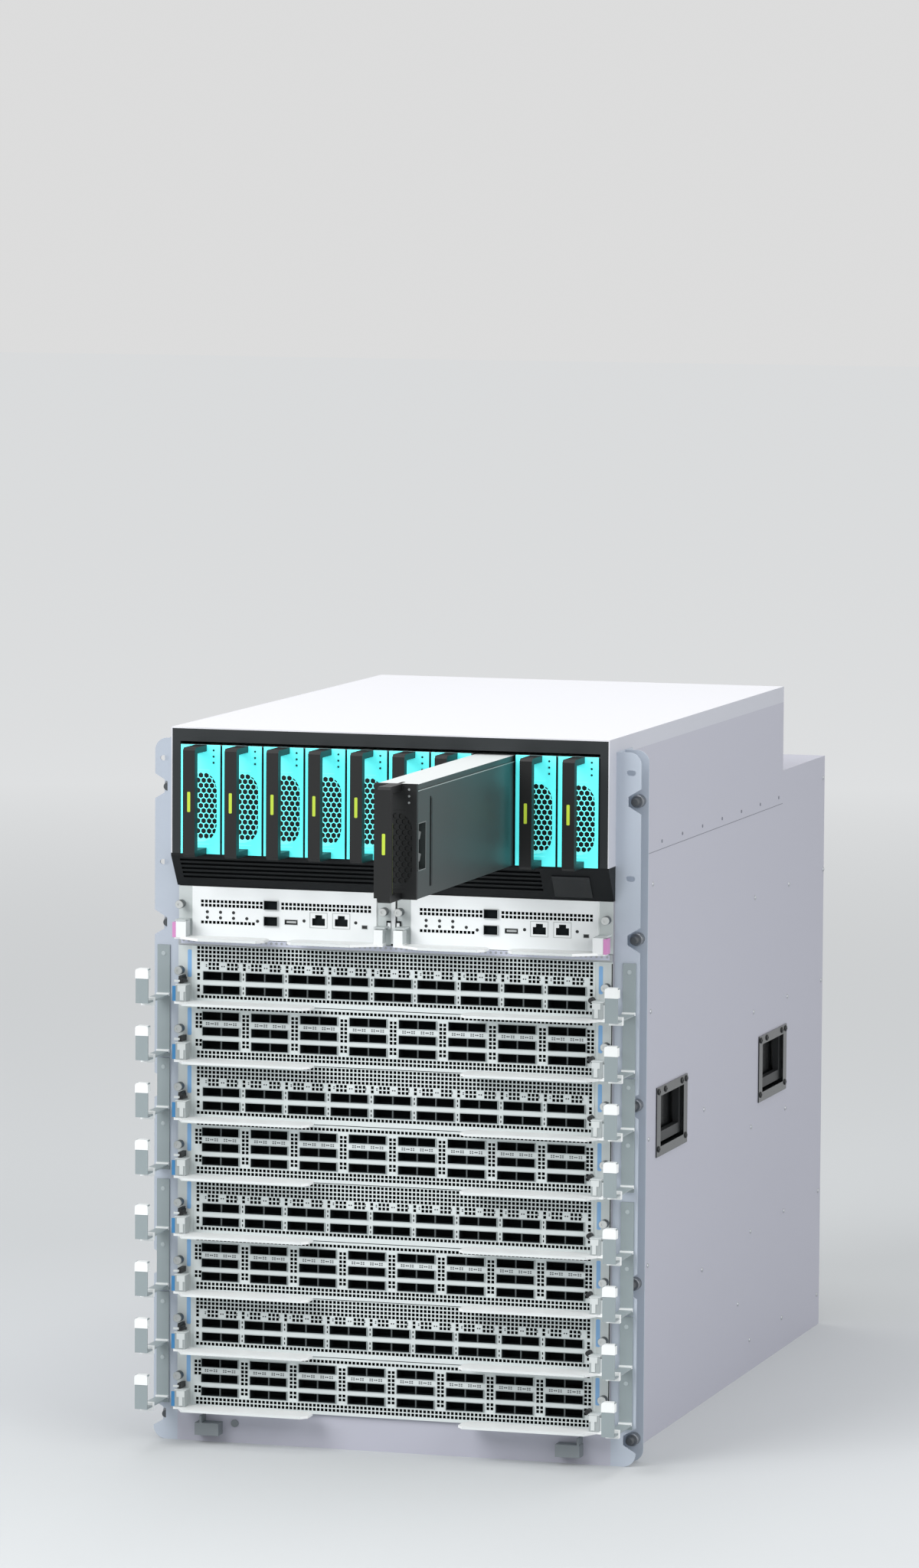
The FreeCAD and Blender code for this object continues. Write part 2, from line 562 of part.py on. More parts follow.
def ejector(name, pivot, length, start, level):
    """Left-hand ejector: a round-backed hub on the pin and a flat arm along the card's foot."""
    body = new_body(name)
    axis = f"(0 - ({pivot}))"
    add(body, "arm", "XY", "lever_lift", "lever_sheet",
        [(axis, "-lever_back"), (f"{axis} + {length}", "-lever_back"),
         (f"{axis} + {length} + lever_bevel", "-lever_back - lever_bevel_depth"),
         (f"{axis} + {length} + lever_bevel", "-lever_reach + lever_bevel_depth"),
         (f"{axis} + {length}", "-lever_reach"), (f"{axis} + {start}", "-lever_reach"),
         (axis, "-lever_axis - lever_nose")])
    add(body, "hub", "XY", "lever_lift", "lever_rise",
        [(f"{axis} - lever_cheek", "-lever_axis - lever_nose"),
         (f"{axis} + lever_cheek", "-lever_axis - lever_nose"),
         (f"{axis} + lever_cheek", "-lever_axis + lever_cam - lever_chamfer"),
         (f"{axis} + lever_cheek - lever_chamfer", "-lever_axis + lever_cam"),
         (f"{axis} - lever_cheek + lever_chamfer", "-lever_axis + lever_cam"),
         (f"{axis} - lever_cheek", "-lever_axis + lever_cam - lever_chamfer")])
    remove(body, "pin_hole", "XY", "lever_lift + lever_rise - pin_depth - pin_gap",
           f"pin_depth + pin_gap + {PAST}", pin_hole(axis, "-lever_axis", "pin_radius"))
    return place(body, z=level)


def card_levers(index):
    level = f"base_rise + ({CARDS} - 1 - {index}) * card_pitch + panel_gap / 2"
    left = ejector(f"card_lever_{index + 1}_left", "lever_pivot", "lever_length", "lever_start", level)
    return [left, mirrored(f"card_lever_{index + 1}_right", left)]


# supervisor cards

def supervisor(name, centre):
    body = new_body(name)
    half = "supervisor_width / 2"
    inner = "(tray_half - (supervisor_gap + supervisor_width) / 2)"
    floor = "(slot_gap + seat_gap)"
    add(body, "tray", "XZ", f"-panel_back - {WELD}", "supervisor_depth",
        [(f"-{inner}", floor), (inner, floor), (inner, f"{floor} + tray_lip"),
         (f"{inner} - tray_sheet", f"{floor} + tray_lip"),
         (f"{inner} - tray_sheet", f"{floor} + tray_sheet"),
         (f"-{inner} + tray_sheet", f"{floor} + tray_sheet"),
         (f"-{inner} + tray_sheet", f"{floor} + tray_lip"), (f"-{inner}", f"{floor} + tray_lip")])
    add(body, "panel", "XZ", "-panel_front", "panel_sheet",
        box(f"-{half}", half, "0", "supervisor_height"))
    add(body, "port_cages", "XZ", f"-panel_back - {WELD}", "cage_block_depth",
        box("sfp_across - sfp_width / 2 - port_wall", "jack_across + jack_step + jack_width",
            "supervisor_block_low",
            "supervisor_height - supervisor_block_drop"))
    jack = [(f"jack_across + {k} * jack_step", k) for k in range(2)]
    cuts = [box("sfp_across - sfp_width / 2", "sfp_across + sfp_width / 2",
                f"sfp_up + {k} * sfp_step - sfp_height / 2", f"sfp_up + {k} * sfp_step + sfp_height / 2")
            for k in range(2)]
    cuts.append(box("usb_across - usb_width / 2", "usb_across + usb_width / 2",
                    "usb_up - usb_height / 2", "usb_up + usb_height / 2"))
    for middle, _ in jack:
        low, high = "jack_up - jack_height / 2", "jack_up + jack_height / 2"
        cuts.append([(f"{middle} - jack_width / 2", low), (f"{middle} + jack_width / 2", low),
                     (f"{middle} + jack_width / 2", high), (f"{middle} + jack_notch / 2", high),
                     (f"{middle} + jack_notch / 2", f"{high} + jack_notch_rise"),
                     (f"{middle} - jack_notch / 2", f"{high} + jack_notch_rise"),
                     (f"{middle} - jack_notch / 2", high), (f"{middle} - jack_width / 2", high)])
    remove(body, "ports", "XZ", f"-panel_front - {WELD}", "port_depth", *cuts)
    remove(body, "folds", "XZ", f"-panel_front - {WELD}", f"fold_step + {WELD}",
           box(f"-{half} - {PAST}", f"-{half} + fold_width", "-1", f"supervisor_height + {PAST}"),
           box(f"{half} - fold_width", f"{half} + {PAST}", "-1", f"supervisor_height + {PAST}"))
    add(body, "heat_sink", "XY", f"{floor} + tray_sheet / 2", "supervisor_sink",
        box("-sink_width / 2", "sink_width / 2", "sink_front", "sink_front + sink_depth"))
    add_lever_tabs(body, half, "supervisor_pivot")
    return place(body, x=centre, z="supervisor_low + seat_gap")


def supervisor_levers():
    level = "supervisor_low + seat_gap"
    outer = ejector("supervisor_lever_1", "lever_pivot", "supervisor_lever", "supervisor_start", level)
    inner = mirrored("supervisor_lever_2", outer, "-(supervisor_gap + supervisor_width) / 2")
    return [outer, inner, mirrored("supervisor_lever_3", inner),
            mirrored("supervisor_lever_4", outer)]


# supply modules

def supply(index):
    """Plug-in supply: a case behind a face plate with a round-ended vent and an upright grip."""
    body = new_body(f"supply_{index + 1}")
    half = "supply_width / 2"
    add(body, "face", "XZ", "0", "face_sheet", box(f"-{half}", half, "0", "supply_height"))
    add(body, "case", "XZ", f"face_sheet - {WELD}", f"supply_depth - face_sheet + {WELD}",
        [(f"-{half} + case_inset", "0"), (f"{half} - case_inset", "0"),
         (f"{half} - case_inset", "supply_height - ledge_drop"),
         (f"{half} - 2 * case_inset", "supply_height - ledge_drop"),
         (f"{half} - 2 * case_inset", "supply_height - case_inset"),
         (f"-{half} + case_inset", "supply_height - case_inset")])
    remove(body, "vent", "XZ", "-1", f"vent_recess + {PAST}",
           round_ended("0", "vent_low + vent_tall / 2", "vent_across / 2", "vent_tall - vent_across",
                       SLOT_SIDES))
    remove(body, "fan_window", "YZ", f"{half} - window_deep", f"window_deep + {PAST}",
           box("window_front", "window_front + window_long", "window_low",
               "window_low + window_tall"))
    remove(body, "side_slot", "YZ", f"{half} - case_inset - slot_deep", f"slot_deep + {PAST}",
           box("slot_from_face", "slot_from_face + slot_long", "slot_low", "slot_low + slot_tall"))
    grip = "(0 - grip_width / 2)"
    add(body, "grip", "YZ", grip, "grip_width",
        [(f"0 + {WELD}", "0"), ("-grip_reach + grip_round", "0"), ("-grip_reach", "grip_round"),
         ("-grip_reach", "supply_height - grip_round"),
         ("-grip_reach + grip_round", "supply_height"),
         (f"0 + {WELD}", "supply_height"), (f"0 + {WELD}", "supply_height - grip_leg"),
         ("-grip_reach + grip_bar", "supply_height - grip_leg"),
         ("-grip_reach + grip_bar", "grip_leg"), (f"0 + {WELD}", "grip_leg")])
    drawn = "- supply_drawn" if index == 7 else ""
    return place(body, x=f"supply_left + {index} * supply_pitch",
                 y=f"-lower_depth / 2 - supply_front {drawn}", z="supply_low")


# carry handles

def pan():
    """Pressed dish for a carry handle on the right side, its rim over the side panel."""
    body = new_body("pan")
    out = "half_width"
    y0, y1 = "pan_first", "(pan_first + pan_long)"
    z0, z1 = "pan_low", "(pan_low + pan_tall)"
    rim = box(y0, y1, z0, z1)
    dish = box(f"{y0} + pan_margin", f"{y1} - pan_margin", f"{z0} + pan_rim", f"{z1} - pan_rim")
    cup = box(f"{y0} + pan_margin + pan_sheet", f"{y1} - pan_margin - pan_sheet",
              f"{z0} + pan_rim + pan_sheet", f"{z1} - pan_rim - pan_sheet")
    add(body, "rim", "YZ", out, "pan_sheet", rim)
    add(body, "dish", "YZ", f"{out} - pan_deep", "pan_deep + pan_sheet / 2", dish)
    remove(body, "hollow", "YZ", f"{out} - pan_deep + pan_sheet", "pan_deep + pan_sheet", cup)
    remove(body, "peg_holes", "XZ", f"{y0} + pan_margin - {PAST}", f"pan_long - 2 * pan_margin + {2 * PAST}",
           pin_hole("half_width - pan_deep / 2 + pan_sheet / 2", f"{z0} + bail_pivot", "peg_radius"))
    return place(body)


def handle_pans():
    near = pan()
    far = pan_copy("pan_far", near)
    return group("handle_pans", [near, far, mirrored("pan_twin", near), mirrored("pan_far_twin", far)])


def pan_copy(name, source):
    copy = doc.addObject("Part::Compound", name)
    copy.Links = [source]
    tie(copy, "Placement.Base.y", "pan_step")
    return copy


def bail(index):
    """Swinging handle hung on two pegs in its dish."""
    body = new_body(f"bail_{index + 1}")
    middle = "(pan_first + pan_long / 2)"
    across = "(half_width - pan_deep / 2 + pan_sheet / 2)"
    inner = "(pan_long / 2 - pan_margin - pan_sheet - bail_gap)"
    left, right = f"({middle} - {inner})", f"({middle} + {inner})"
    low, pivot = "(pan_low + bail_low)", "(pan_low + bail_pivot)"
    add(body, "loop", "YZ", f"{across} - bail_thick / 2", "bail_thick",
        [(left, low), (right, low), (right, f"{pivot} + bail_leg / 2"),
         (f"{right} - bail_leg", f"{pivot} + bail_leg / 2"), (f"{right} - bail_leg", f"{low} + bail_grip"),
         (f"{left} + bail_leg", f"{low} + bail_grip"), (f"{left} + bail_leg", f"{pivot} + bail_leg / 2"),
         (left, f"{pivot} + bail_leg / 2")])
    add(body, "pegs", "XZ", f"{left} - peg_reach", f"2 * {inner} + 2 * peg_reach",
        many_sided(across, pivot, "peg_radius", PIN_SIDES))
    remove(body, "grasp", "YZ", f"{across} - bail_thick", "2 * bail_thick",
           box(f"{left} + bail_leg", f"{right} - bail_leg", f"{low} + bail_grip",
               f"{pivot} + bail_leg"))
    return place(body)


def carry_bails():
    near = bail(0)
    near.Label = "carry_bail_1"
    far = pan_copy("carry_bail_2", near)
    far.Label = "carry_bail_2"
    return [near, far, mirrored("carry_bail_3", near), mirrored("carry_bail_4", far)]


# inside and rear

def backplanes():
    """Signal board behind the cards and power board behind the supplies."""
    signal = new_body("signal_board")
    side = "(cage_half - rail_reach - seat_gap)"
    add(signal, "board", "XZ", "midplane_front", "midplane_sheet",
        box(f"-{side}", side, "midplane_low", "midplane_high"))
    power = new_body("power_board")
    add(power, "board", "XZ", "supply_depth - supply_front + plug_gap", "backplane_sheet",
        box("-inner_half + seat_gap", "inner_half - seat_gap", "supply_low - seat_gap", "supply_top"))
    return group("backplanes", [place(signal), place(power)])


def fan_tray(index):
    """Tray with a column of round fan recesses and a pull handle, a sliding fit in its window."""
    body = new_body(f"fan_tray_{index + 1}")
    inner = "(fan_span / 2 - fan_margin - seat_gap)"
    back = "lower_depth"
    add(body, "housing", "XZ", f"{back} - fan_tray_depth", "fan_tray_depth",
        box(f"-{inner}", inner, "fan_low + fan_margin + seat_gap", "fan_high - fan_margin - seat_gap"))
    first = f"((fan_low + fan_high) / 2 - ({FANS} - 1) / 2 * fan_pitch)"
    fan = remove(body, "fan", "XZ", f"{back} - fan_recess", f"fan_recess + {PAST}",
                 many_sided("0", first, "fan_radius", FAN_SIDES))
    repeat(body, fan, "Z", FANS, "fan_pitch")
    middle = "((fan_low + fan_high) / 2 + fan_pitch / 2)"
    add(body, "pull", "YZ", "-pull_bar / 2", "pull_bar",
        [(f"{back} - {PAST}", f"{middle} - pull_long / 2"), (f"{back} + pull_reach", f"{middle} - pull_long / 2"),
         (f"{back} + pull_reach", f"{middle} + pull_long / 2"), (f"{back} - {PAST}", f"{middle} + pull_long / 2"),
         (f"{back} - {PAST}", f"{middle} + pull_long / 2 - pull_bar"),
         (f"{back} + pull_reach - pull_bar", f"{middle} + pull_long / 2 - pull_bar"),
         (f"{back} + pull_reach - pull_bar", f"{middle} - pull_long / 2 + pull_bar"),
         (f"{back} - {PAST}", f"{middle} - pull_long / 2 + pull_bar")])
    return place(body, x=f"({index} - 1) * fan_span")


def power_inlets():
    sockets = []
    for i in range(SUPPLIES):
        body = new_body(f"inlet_{i + 1}")
        add(body, "socket", "XZ", "upper_depth - inlet_depth", "inlet_depth + inlet_lip",
            box("-inlet_width / 2", "inlet_width / 2", "inlet_rise", "inlet_rise + inlet_height"))
        remove(body, "mouth", "XZ", "upper_depth - inlet_depth / 2", "inlet_depth",
               box("-inlet_width / 2 + inlet_lip", "inlet_width / 2 - inlet_lip",
                   "inlet_rise + inlet_lip", "inlet_rise + inlet_height - inlet_lip"))
        sockets.append(place(body, x=f"supply_left + {i} * supply_pitch", z="supply_low"))
    return group("power_inlets", sockets)


def base_fittings():
    """Earth jack and the two clips on the front of the base."""
    jack = new_body("earth_jack")
    add(jack, "barrel", "XZ", "-ear_sheet", "ear_sheet",
        ("circle", "-jack_plug_across", "jack_plug_up", "jack_plug_radius"))
    clips = []
    for name, across, plate in (("clip_left", "-clip_left", "-clip_left - clip_plate_left"),
                                ("clip_right", "clip_right", "clip_right + clip_plate_right")):
        clip = new_body(name)
        add(clip, "block", "XZ", "-clip_reach", "clip_reach",
            box(f"{across} - clip_width / 2", f"{across} + clip_width / 2", "clip_up",
                "clip_up + clip_rise"))
        add(clip, "upright", "XZ", "-clip_reach", "clip_reach",
            box(f"{plate} - clip_plate / 2", f"{plate} + clip_plate / 2", "clip_up + clip_rise / 2",
                "clip_up + clip_plate_rise"))
        clips.append(place(clip))
    return group("base_fittings", [place(jack)] + clips)


def build():
    pieces = [chassis_shell(), base_plate(), card_cage(), top_cover(), front_bezel(),
              intake_grille(), status_screen(), rack_ears(), cable_guides(), handle_pans(),
              backplanes(), power_inlets(), base_fittings()]
    pieces += [supply(i) for i in range(SUPPLIES)]
    pieces += [supervisor("supervisor_left", "-(supervisor_gap + supervisor_width) / 2"),
               supervisor("supervisor_right", "(supervisor_gap + supervisor_width) / 2")]
    pieces += supervisor_levers()
    for i in range(CARDS):
        pieces += [line_card(i)] + card_levers(i)
    pieces += carry_bails() + [fan_tray(i) for i in range(FAN_TRAYS)]
    return pieces


def check(pieces):
    for item in doc.Objects:
        if "Invalid" in item.State or "Error" in item.State:
            raise RuntimeError(f"{item.Label}: {item.State}")
        if item.TypeId == "PartDesign::Pocket":
            if item.Shape.Volume > item.BaseFeature.Shape.Volume - 1e-3:
                raise RuntimeError(f"{item.Label} cuts nothing")
        if item.TypeId == "PartDesign::Body" and len(item.Shape.Solids) != 1:
            raise RuntimeError(f"{item.Label} is not one solid: {len(item.Shape.Solids)}")
    for item in pieces:
        if item.Shape.isNull() or not item.Shape.isValid() or item.Shape.Volume <= 0:
            raise RuntimeError(f"{item.Label} has no valid solid")


def write(pieces):
    os.makedirs("parts", exist_ok=True)
    for item in pieces:
        item.Shape.exportStep(f"parts/{item.Label}.step")


parts = build()
doc.recompute()
check(parts)
write(parts)
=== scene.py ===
"""Looks of a modular chassis switch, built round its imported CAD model.

Everything is in the frame of the CAD model: x to the right, y to the back, z up, in metres, with
the origin at the centre of the base. Sizes of drawn shapes are in millimetres, and their y is
counted from the front faces of the ears, or from a stamped piece's own point.
"""

import math

import bmesh
import bpy
from bpy.props import FloatProperty, FloatVectorProperty, PointerProperty
from mathutils import Euler, Matrix, Vector


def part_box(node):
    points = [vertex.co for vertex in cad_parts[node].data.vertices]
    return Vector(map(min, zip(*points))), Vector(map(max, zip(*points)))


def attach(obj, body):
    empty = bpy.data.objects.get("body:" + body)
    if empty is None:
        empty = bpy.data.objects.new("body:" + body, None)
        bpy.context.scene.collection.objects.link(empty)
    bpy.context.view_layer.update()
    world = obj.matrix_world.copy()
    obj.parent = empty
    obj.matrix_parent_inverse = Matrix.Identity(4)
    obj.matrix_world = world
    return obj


bl_info = {
    "name": "Modular chassis switch",
    "version": (1, 0, 0),
    "blender": (4, 2, 0),
    "location": "View3D > Sidebar > Chassis",
    "description": "Dresses a rack chassis with its cards, supplies and fasteners",
    "category": "Object",
}

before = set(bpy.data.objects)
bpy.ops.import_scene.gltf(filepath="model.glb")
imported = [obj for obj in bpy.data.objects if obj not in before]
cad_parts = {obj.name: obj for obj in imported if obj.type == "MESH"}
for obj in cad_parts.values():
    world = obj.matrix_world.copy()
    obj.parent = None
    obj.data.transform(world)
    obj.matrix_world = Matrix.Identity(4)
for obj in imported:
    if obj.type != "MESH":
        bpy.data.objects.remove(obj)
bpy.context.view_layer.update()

MM = 0.001
SUPPLIES = [f"supply_{i + 1}" for i in range(10)]
DRAWN_SUPPLY = "supply_8"
LINE_CARDS = [f"line_card_{i + 1}" for i in range(8)]
SUPERVISORS = ("supervisor_left", "supervisor_right")
CARD_LEVERS = [f"card_lever_{i + 1}_{side}" for i in range(8) for side in ("left", "right")]
SUPERVISOR_LEVERS = [f"supervisor_lever_{i + 1}" for i in range(4)]
BAILS = [f"carry_bail_{i + 1}" for i in range(4)]
FAN_TRAYS = [f"fan_tray_{i + 1}" for i in range(3)]
EAR_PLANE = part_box("rack_ears")[0].y
PANEL = -3.6             # fronts of the cards' panels
PANEL_FRONT = EAR_PLANE + PANEL * MM
GRIP_DEPTH = 36          # from the front of a supply's grip back to its face
PULL_REACH = 16.0        # how far a fan tray's pull stands behind the tray
OPEN = 1.0               # metres added past the end of a range that has no limit
POWDER_GRAIN = (1.2, 0.05)
MOULD_GRAIN = (0.6, 0.03)


# finishes

def linear(code):
    """A written colour, such as #d0d8d8, as linear red, green and blue with full cover."""
    parts = [int(code[i:i + 2], 16) / 255 for i in (1, 3, 5)]
    return [p / 12.92 if p <= 0.04045 else ((p + 0.055) / 1.055) ** 2.4 for p in parts] + [1.0]


def add_node(tree, kind, settings=None, links=()):
    """One node with its settings; each link is (input name or index, output socket)."""
    made = tree.nodes.new(kind)
    for key, value in (settings or {}).items():
        if isinstance(key, str) and hasattr(made, key):
            setattr(made, key, value)
        else:
            made.inputs[key].default_value = value
    for key, output in links:
        tree.links.new(output, made.inputs[key])
    return made


def combine(tree, operation, one, two):
    """Two sockets, or a socket and a number, through one sum."""
    node = add_node(tree, "ShaderNodeMath", {"operation": operation}, [(0, one)])
    if isinstance(two, float):
        node.inputs[1].default_value = two
    else:
        tree.links.new(two, node.inputs[1])
    return node.outputs[0]


def new_finish(name, colour, roughness, metallic=0.0, coat=0.0, sheen=0.5):
    """A finish and its shader, ready for a pattern. The colour is written or already linear."""
    finish = bpy.data.materials.new(name)
    finish.use_nodes = True
    shader = finish.node_tree.nodes["Principled BSDF"]
    values = {"Base Color": linear(colour) if isinstance(colour, str) else colour,
              "Roughness": roughness, "Metallic": metallic, "Coat Weight": coat,
              "Specular IOR Level": sheen}
    for key, value in values.items():
        shader.inputs[key].default_value = value
    return finish, finish.node_tree, shader


def plain(name, colour, roughness, **more):
    """An even finish with no pattern."""
    return new_finish(name, colour, roughness, **more)[0]


def grain(tree, shader, size, depth):
    """Fine relief on the surface, its grain as large and deep as the sizes given."""
    place = add_node(tree, "ShaderNodeTexCoord")
    noise = add_node(tree, "ShaderNodeTexNoise", {"Scale": 1 / (size * MM), "Detail": 3.0},
                     [("Vector", place.outputs["Object"])])
    bump = add_node(tree, "ShaderNodeBump", {"Strength": 0.25, "Distance": depth * MM},
                    [("Height", noise.outputs["Fac"])])
    tree.links.new(bump.outputs["Normal"], shader.inputs["Normal"])
    return noise


def powder_coat(name, colour, roughness=0.5):
    """Powder-coated sheet steel: even and satin, with the faint orange peel of baked powder."""
    finish, tree, shader = new_finish(name, colour, roughness)
    grain(tree, shader, *POWDER_GRAIN)
    return finish


def moulded(name, colour, roughness=0.45, sheen=0.5):
    """Moulded plastic: fine spark-eroded texture under a soft sheen."""
    finish, tree, shader = new_finish(name, colour, roughness, sheen=sheen)
    grain(tree, shader, *MOULD_GRAIN)
    return finish


def plated(name, colour, roughness=0.35):
    """Plated metal: a cool sheen with a slightly blotched gloss."""
    finish, tree, shader = new_finish(name, colour, roughness, metallic=0.85)
    noise = grain(tree, shader, 8.0, 0.02)
    spread = add_node(tree, "ShaderNodeMapRange",
                      {"To Min": roughness - 0.06, "To Max": roughness + 0.1},
                      [("Value", noise.outputs["Fac"])])
    tree.links.new(spread.outputs["Result"], shader.inputs["Roughness"])
    return finish


def glow_painted_plastic(name, colour, strength):
    """Plastic with a painted glow: an even colour given a soft emission, though it is no lamp."""
    finish, tree, shader = new_finish(name, colour, 0.35)
    shader.inputs["Emission Color"].default_value = linear(colour)
    shader.inputs["Emission Strength"].default_value = strength
    grain(tree, shader, 0.8, 0.02)
    return finish


def within(tree, *ranges):
    """1 where the place lies inside every range, 0 elsewhere. A range is (axis, low, high)."""
    place = add_node(tree, "ShaderNodeTexCoord")
    split = add_node(tree, "ShaderNodeSeparateXYZ", None, [("Vector", place.outputs["Object"])])
    tests = [combine(tree, operation, split.outputs[axis], float(limit))
             for axis, low, high in ranges
             for operation, limit in (("GREATER_THAN", low), ("LESS_THAN", high))]
    mask = tests[0]
    for test in tests[1:]:
        mask = combine(tree, "MULTIPLY", mask, test)
    return mask


def recolour(tree, shader, colour, *ranges):
    """Paints another colour over the base colour inside the ranges."""
    socket = shader.inputs["Base Color"]
    mix = add_node(tree, "ShaderNodeMix", {"data_type": "RGBA"}, [(0, within(tree, *ranges))])
    mix.inputs[7].default_value = linear(colour)
    if socket.is_linked:
        tree.links.new(socket.links[0].from_socket, mix.inputs[6])
    else:
        mix.inputs[6].default_value = socket.default_value
    tree.links.new(mix.outputs[2], socket)


def recolour_flanks(tree, shader, colour, node, width):
    """Paints another colour within a width of a node's left and right ends."""
    low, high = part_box(node)
    recolour(tree, shader, colour, ("X", low.x - OPEN, low.x + width * MM))
    recolour(tree, shader, colour, ("X", high.x - width * MM, high.x + OPEN))


def supply_finish(node):
    """One supply: dark grip, a face with painted glow or unlit, and a dark case with a painted
    highlight on top and painted shade in its gaps and groove.
    """
    low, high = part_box(node)
    # The seated supplies' faces get a painted glow; the drawn one's stays unlit.
    painted_glow = node != DRAWN_SUPPLY

    def depths(start, end):
        return "Y", low.y + start * MM, low.y + end * MM

    finish, tree, shader = new_finish(f"supply_case_{node}", "#3a4141", 0.45, sheen=0.4)
    # Painted highlight: the top of the case is pale as if lit from above, the sides left dark.
    recolour(tree, shader, "#d4d9d9", ("Z", high.z - 0.9 * MM, high.z + OPEN))
    face = depths(35.5, 36.4 if painted_glow else 40.2)
    recolour(tree, shader, "#7cffff" if painted_glow else "#0d1011", face)
    recolour(tree, shader, "#0b0d0e", depths(-OPEN / MM, 35.95))
    # Painted shade: a near-black band just behind the face, in the gaps between supplies.
    recolour(tree, shader, "#030606", depths(36.8, 37.2))
    # Painted shade: a dark band in a groove on the case's right side.
    groove_shade = ("Z", low.z + 8 * MM, low.z + 88 * MM)
    recolour(tree, shader, "#1b1f20", depths(80, 89), groove_shade, ("X", high.x - 4 * MM, high.x + OPEN))
    if painted_glow:
        # Painted shade on the face's right edge at the gap, and a painted glow on the rest of the
        # face, though it is no lamp.
        border = high.x - 0.7 * MM
        recolour(tree, shader, "#08292b", face, ("X", border, high.x + OPEN))
        shader.inputs["Emission Color"].default_value = linear("#3fe4e8")
        glow = within(tree, depths(35.95, 36.4), ("X", low.x + 0.1 * MM, border))
        tree.links.new(combine(tree, "MULTIPLY", glow, 0.6), shader.inputs["Emission Strength"])
    return finish


def lever_finish(node):
    """One nylon lever: its white arm, the rest painted grey as shade, and painted shade on the
    arm's front edge.
    """
    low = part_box(node)[0]
    # Painted shade: the grey base stands for the hub's shaded sides.
    finish, tree, shader = new_finish(f"lever_nylon_painted_shade_{node}", "#c3c9ca", 0.42)
    arm = ("Z", low.z - OPEN, low.z + 3.2 * MM)
    recolour(tree, shader, "#f6f8f8", arm)
    # Painted shade on the arm's front edge.
    recolour(tree, shader, "#dde2e2", arm, ("Y", low.y - OPEN, low.y + 0.4 * MM))
    grain(tree, shader, *MOULD_GRAIN)
    return finish


def card_finish(node, colour):
    """One card: light paint, with the panel's front and the ports' insides in shade."""
    low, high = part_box(node)
    finish, tree, shader = new_finish(f"card_{node}", colour, 0.5)
    recolour(tree, shader, "#161b1d", ("Y", PANEL_FRONT - 0.05 * MM, PANEL_FRONT + 19 * MM),
             ("X", low.x + 17 * MM, high.x - 17 * MM), ("Z", low.z + 4 * MM, high.z - 0.5 * MM))
    recolour_flanks(tree, shader, "#c6cdcd", node, 13.5)
    return finish


def tray_finish(node):
    """One fan tray: grey powder coat, with its round recesses in shade."""
    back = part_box(node)[1].y - PULL_REACH * MM
    finish, tree, shader = new_finish(f"tray_powder_coat_{node}", "#9da1a8", 0.5)
    recolour(tree, shader, "#23272a", ("Y", back - 21 * MM, back - 0.3 * MM))
    grain(tree, shader, *POWDER_GRAIN)
    return finish


def cover_finish(node):
    """The top cover: white powder coat above, greyer down its two sides."""
    finish, tree, shader = new_finish("top_powder_coat", "#dadbe0", 0.5)
    grain(tree, shader, *POWDER_GRAIN)
    recolour_flanks(tree, shader, "#c2c4cd", node, 0.3)
    return finish


class ChassisPaint(bpy.types.PropertyGroup):
    side: FloatVectorProperty(name="Side panels", description="Paint of the side and rear walls",
                              subtype="COLOR", size=4, default=linear("#b5b6c2"))


class CHASSIS_OT_paint(bpy.types.Operator):
    """Gives every part of the CAD model its finish"""
    bl_idname = "chassis.paint"
    bl_label = "Finishes"

    def execute(self, context):
        side = powder_coat("side_powder_coat", context.scene.chassis_paint.side)
        black = moulded("grille_abs", "#15181a", 0.5, 0.2)
        finishes = {
            "chassis_shell": side, "base_plate": side,
            "card_cage": plated("zinc_plated_steel", "#a9adb0"),
            "top_cover": cover_finish("top_cover"),
            "front_bezel": moulded("bezel_abs", "#282c2e", 0.5, 0.3),
            "intake_grille": black, "power_inlets": black,
            "status_screen": plain("screen_glass", "#14181b", 0.1),
            "rack_ears": powder_coat("ear_powder_coat", "#b4bdc9"),
            "cable_guides": moulded("guide_nylon", "#919c9f", 0.4),
            "handle_pans": plain("pan_gloss_black", "#101213", 0.2, coat=0.25),
            "backplanes": moulded("board_laminate", "#2f5a3c"),
            "base_fittings": moulded("fitting_grey", "#7d8488"),
        }
        finishes.update({node: moulded("bail_black", "#1b1d1f") for node in BAILS})
        finishes.update({node: tray_finish(node) for node in FAN_TRAYS})
        finishes.update({node: lever_finish(node) for node in CARD_LEVERS + SUPERVISOR_LEVERS})
        finishes.update({node: supply_finish(node) for node in SUPPLIES})
        finishes.update({node: card_finish(node, "#d0d8d8") for node in LINE_CARDS})
        finishes.update({node: card_finish(node, "#e4e7e7") for node in SUPERVISORS})
        for node, finish in finishes.items():
            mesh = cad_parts[node].data
            mesh.materials.clear()
            mesh.materials.append(finish)
        return {"FINISHED"}


# making meshes

def at(x, y, z):
    """A place on the chassis, from millimetres to metres."""
    return Vector((x * MM, EAR_PLANE + y * MM, z * MM))


def local(x, y, z):
    """A place on a stamped piece, from millimetres to metres."""
    return Vector((x, y, z)) * MM


def add_box(bm, low, high, finish=0, place=at):
    """A closed box between two corners."""
    corners = [bm.verts.new(place(x, y, z)) for x in (low[0], high[0]) for y in (low[1], high[1])
               for z in (low[2], high[2])]
    for face in ((0, 1, 3, 2), (4, 6, 7, 5), (0, 4, 5, 1), (2, 3, 7, 6), (0, 2, 6, 4),
                 (1, 5, 7, 3)):
        bm.faces.new([corners[i] for i in face]).material_index = finish


def bridge(bm, near, far):
    """Faces all round between two outlines of the same length."""
    count = len(near)
    return [bm.faces.new((near[i], far[i], far[(i + 1) % count], near[(i + 1) % count]))
            for i in range(count)]


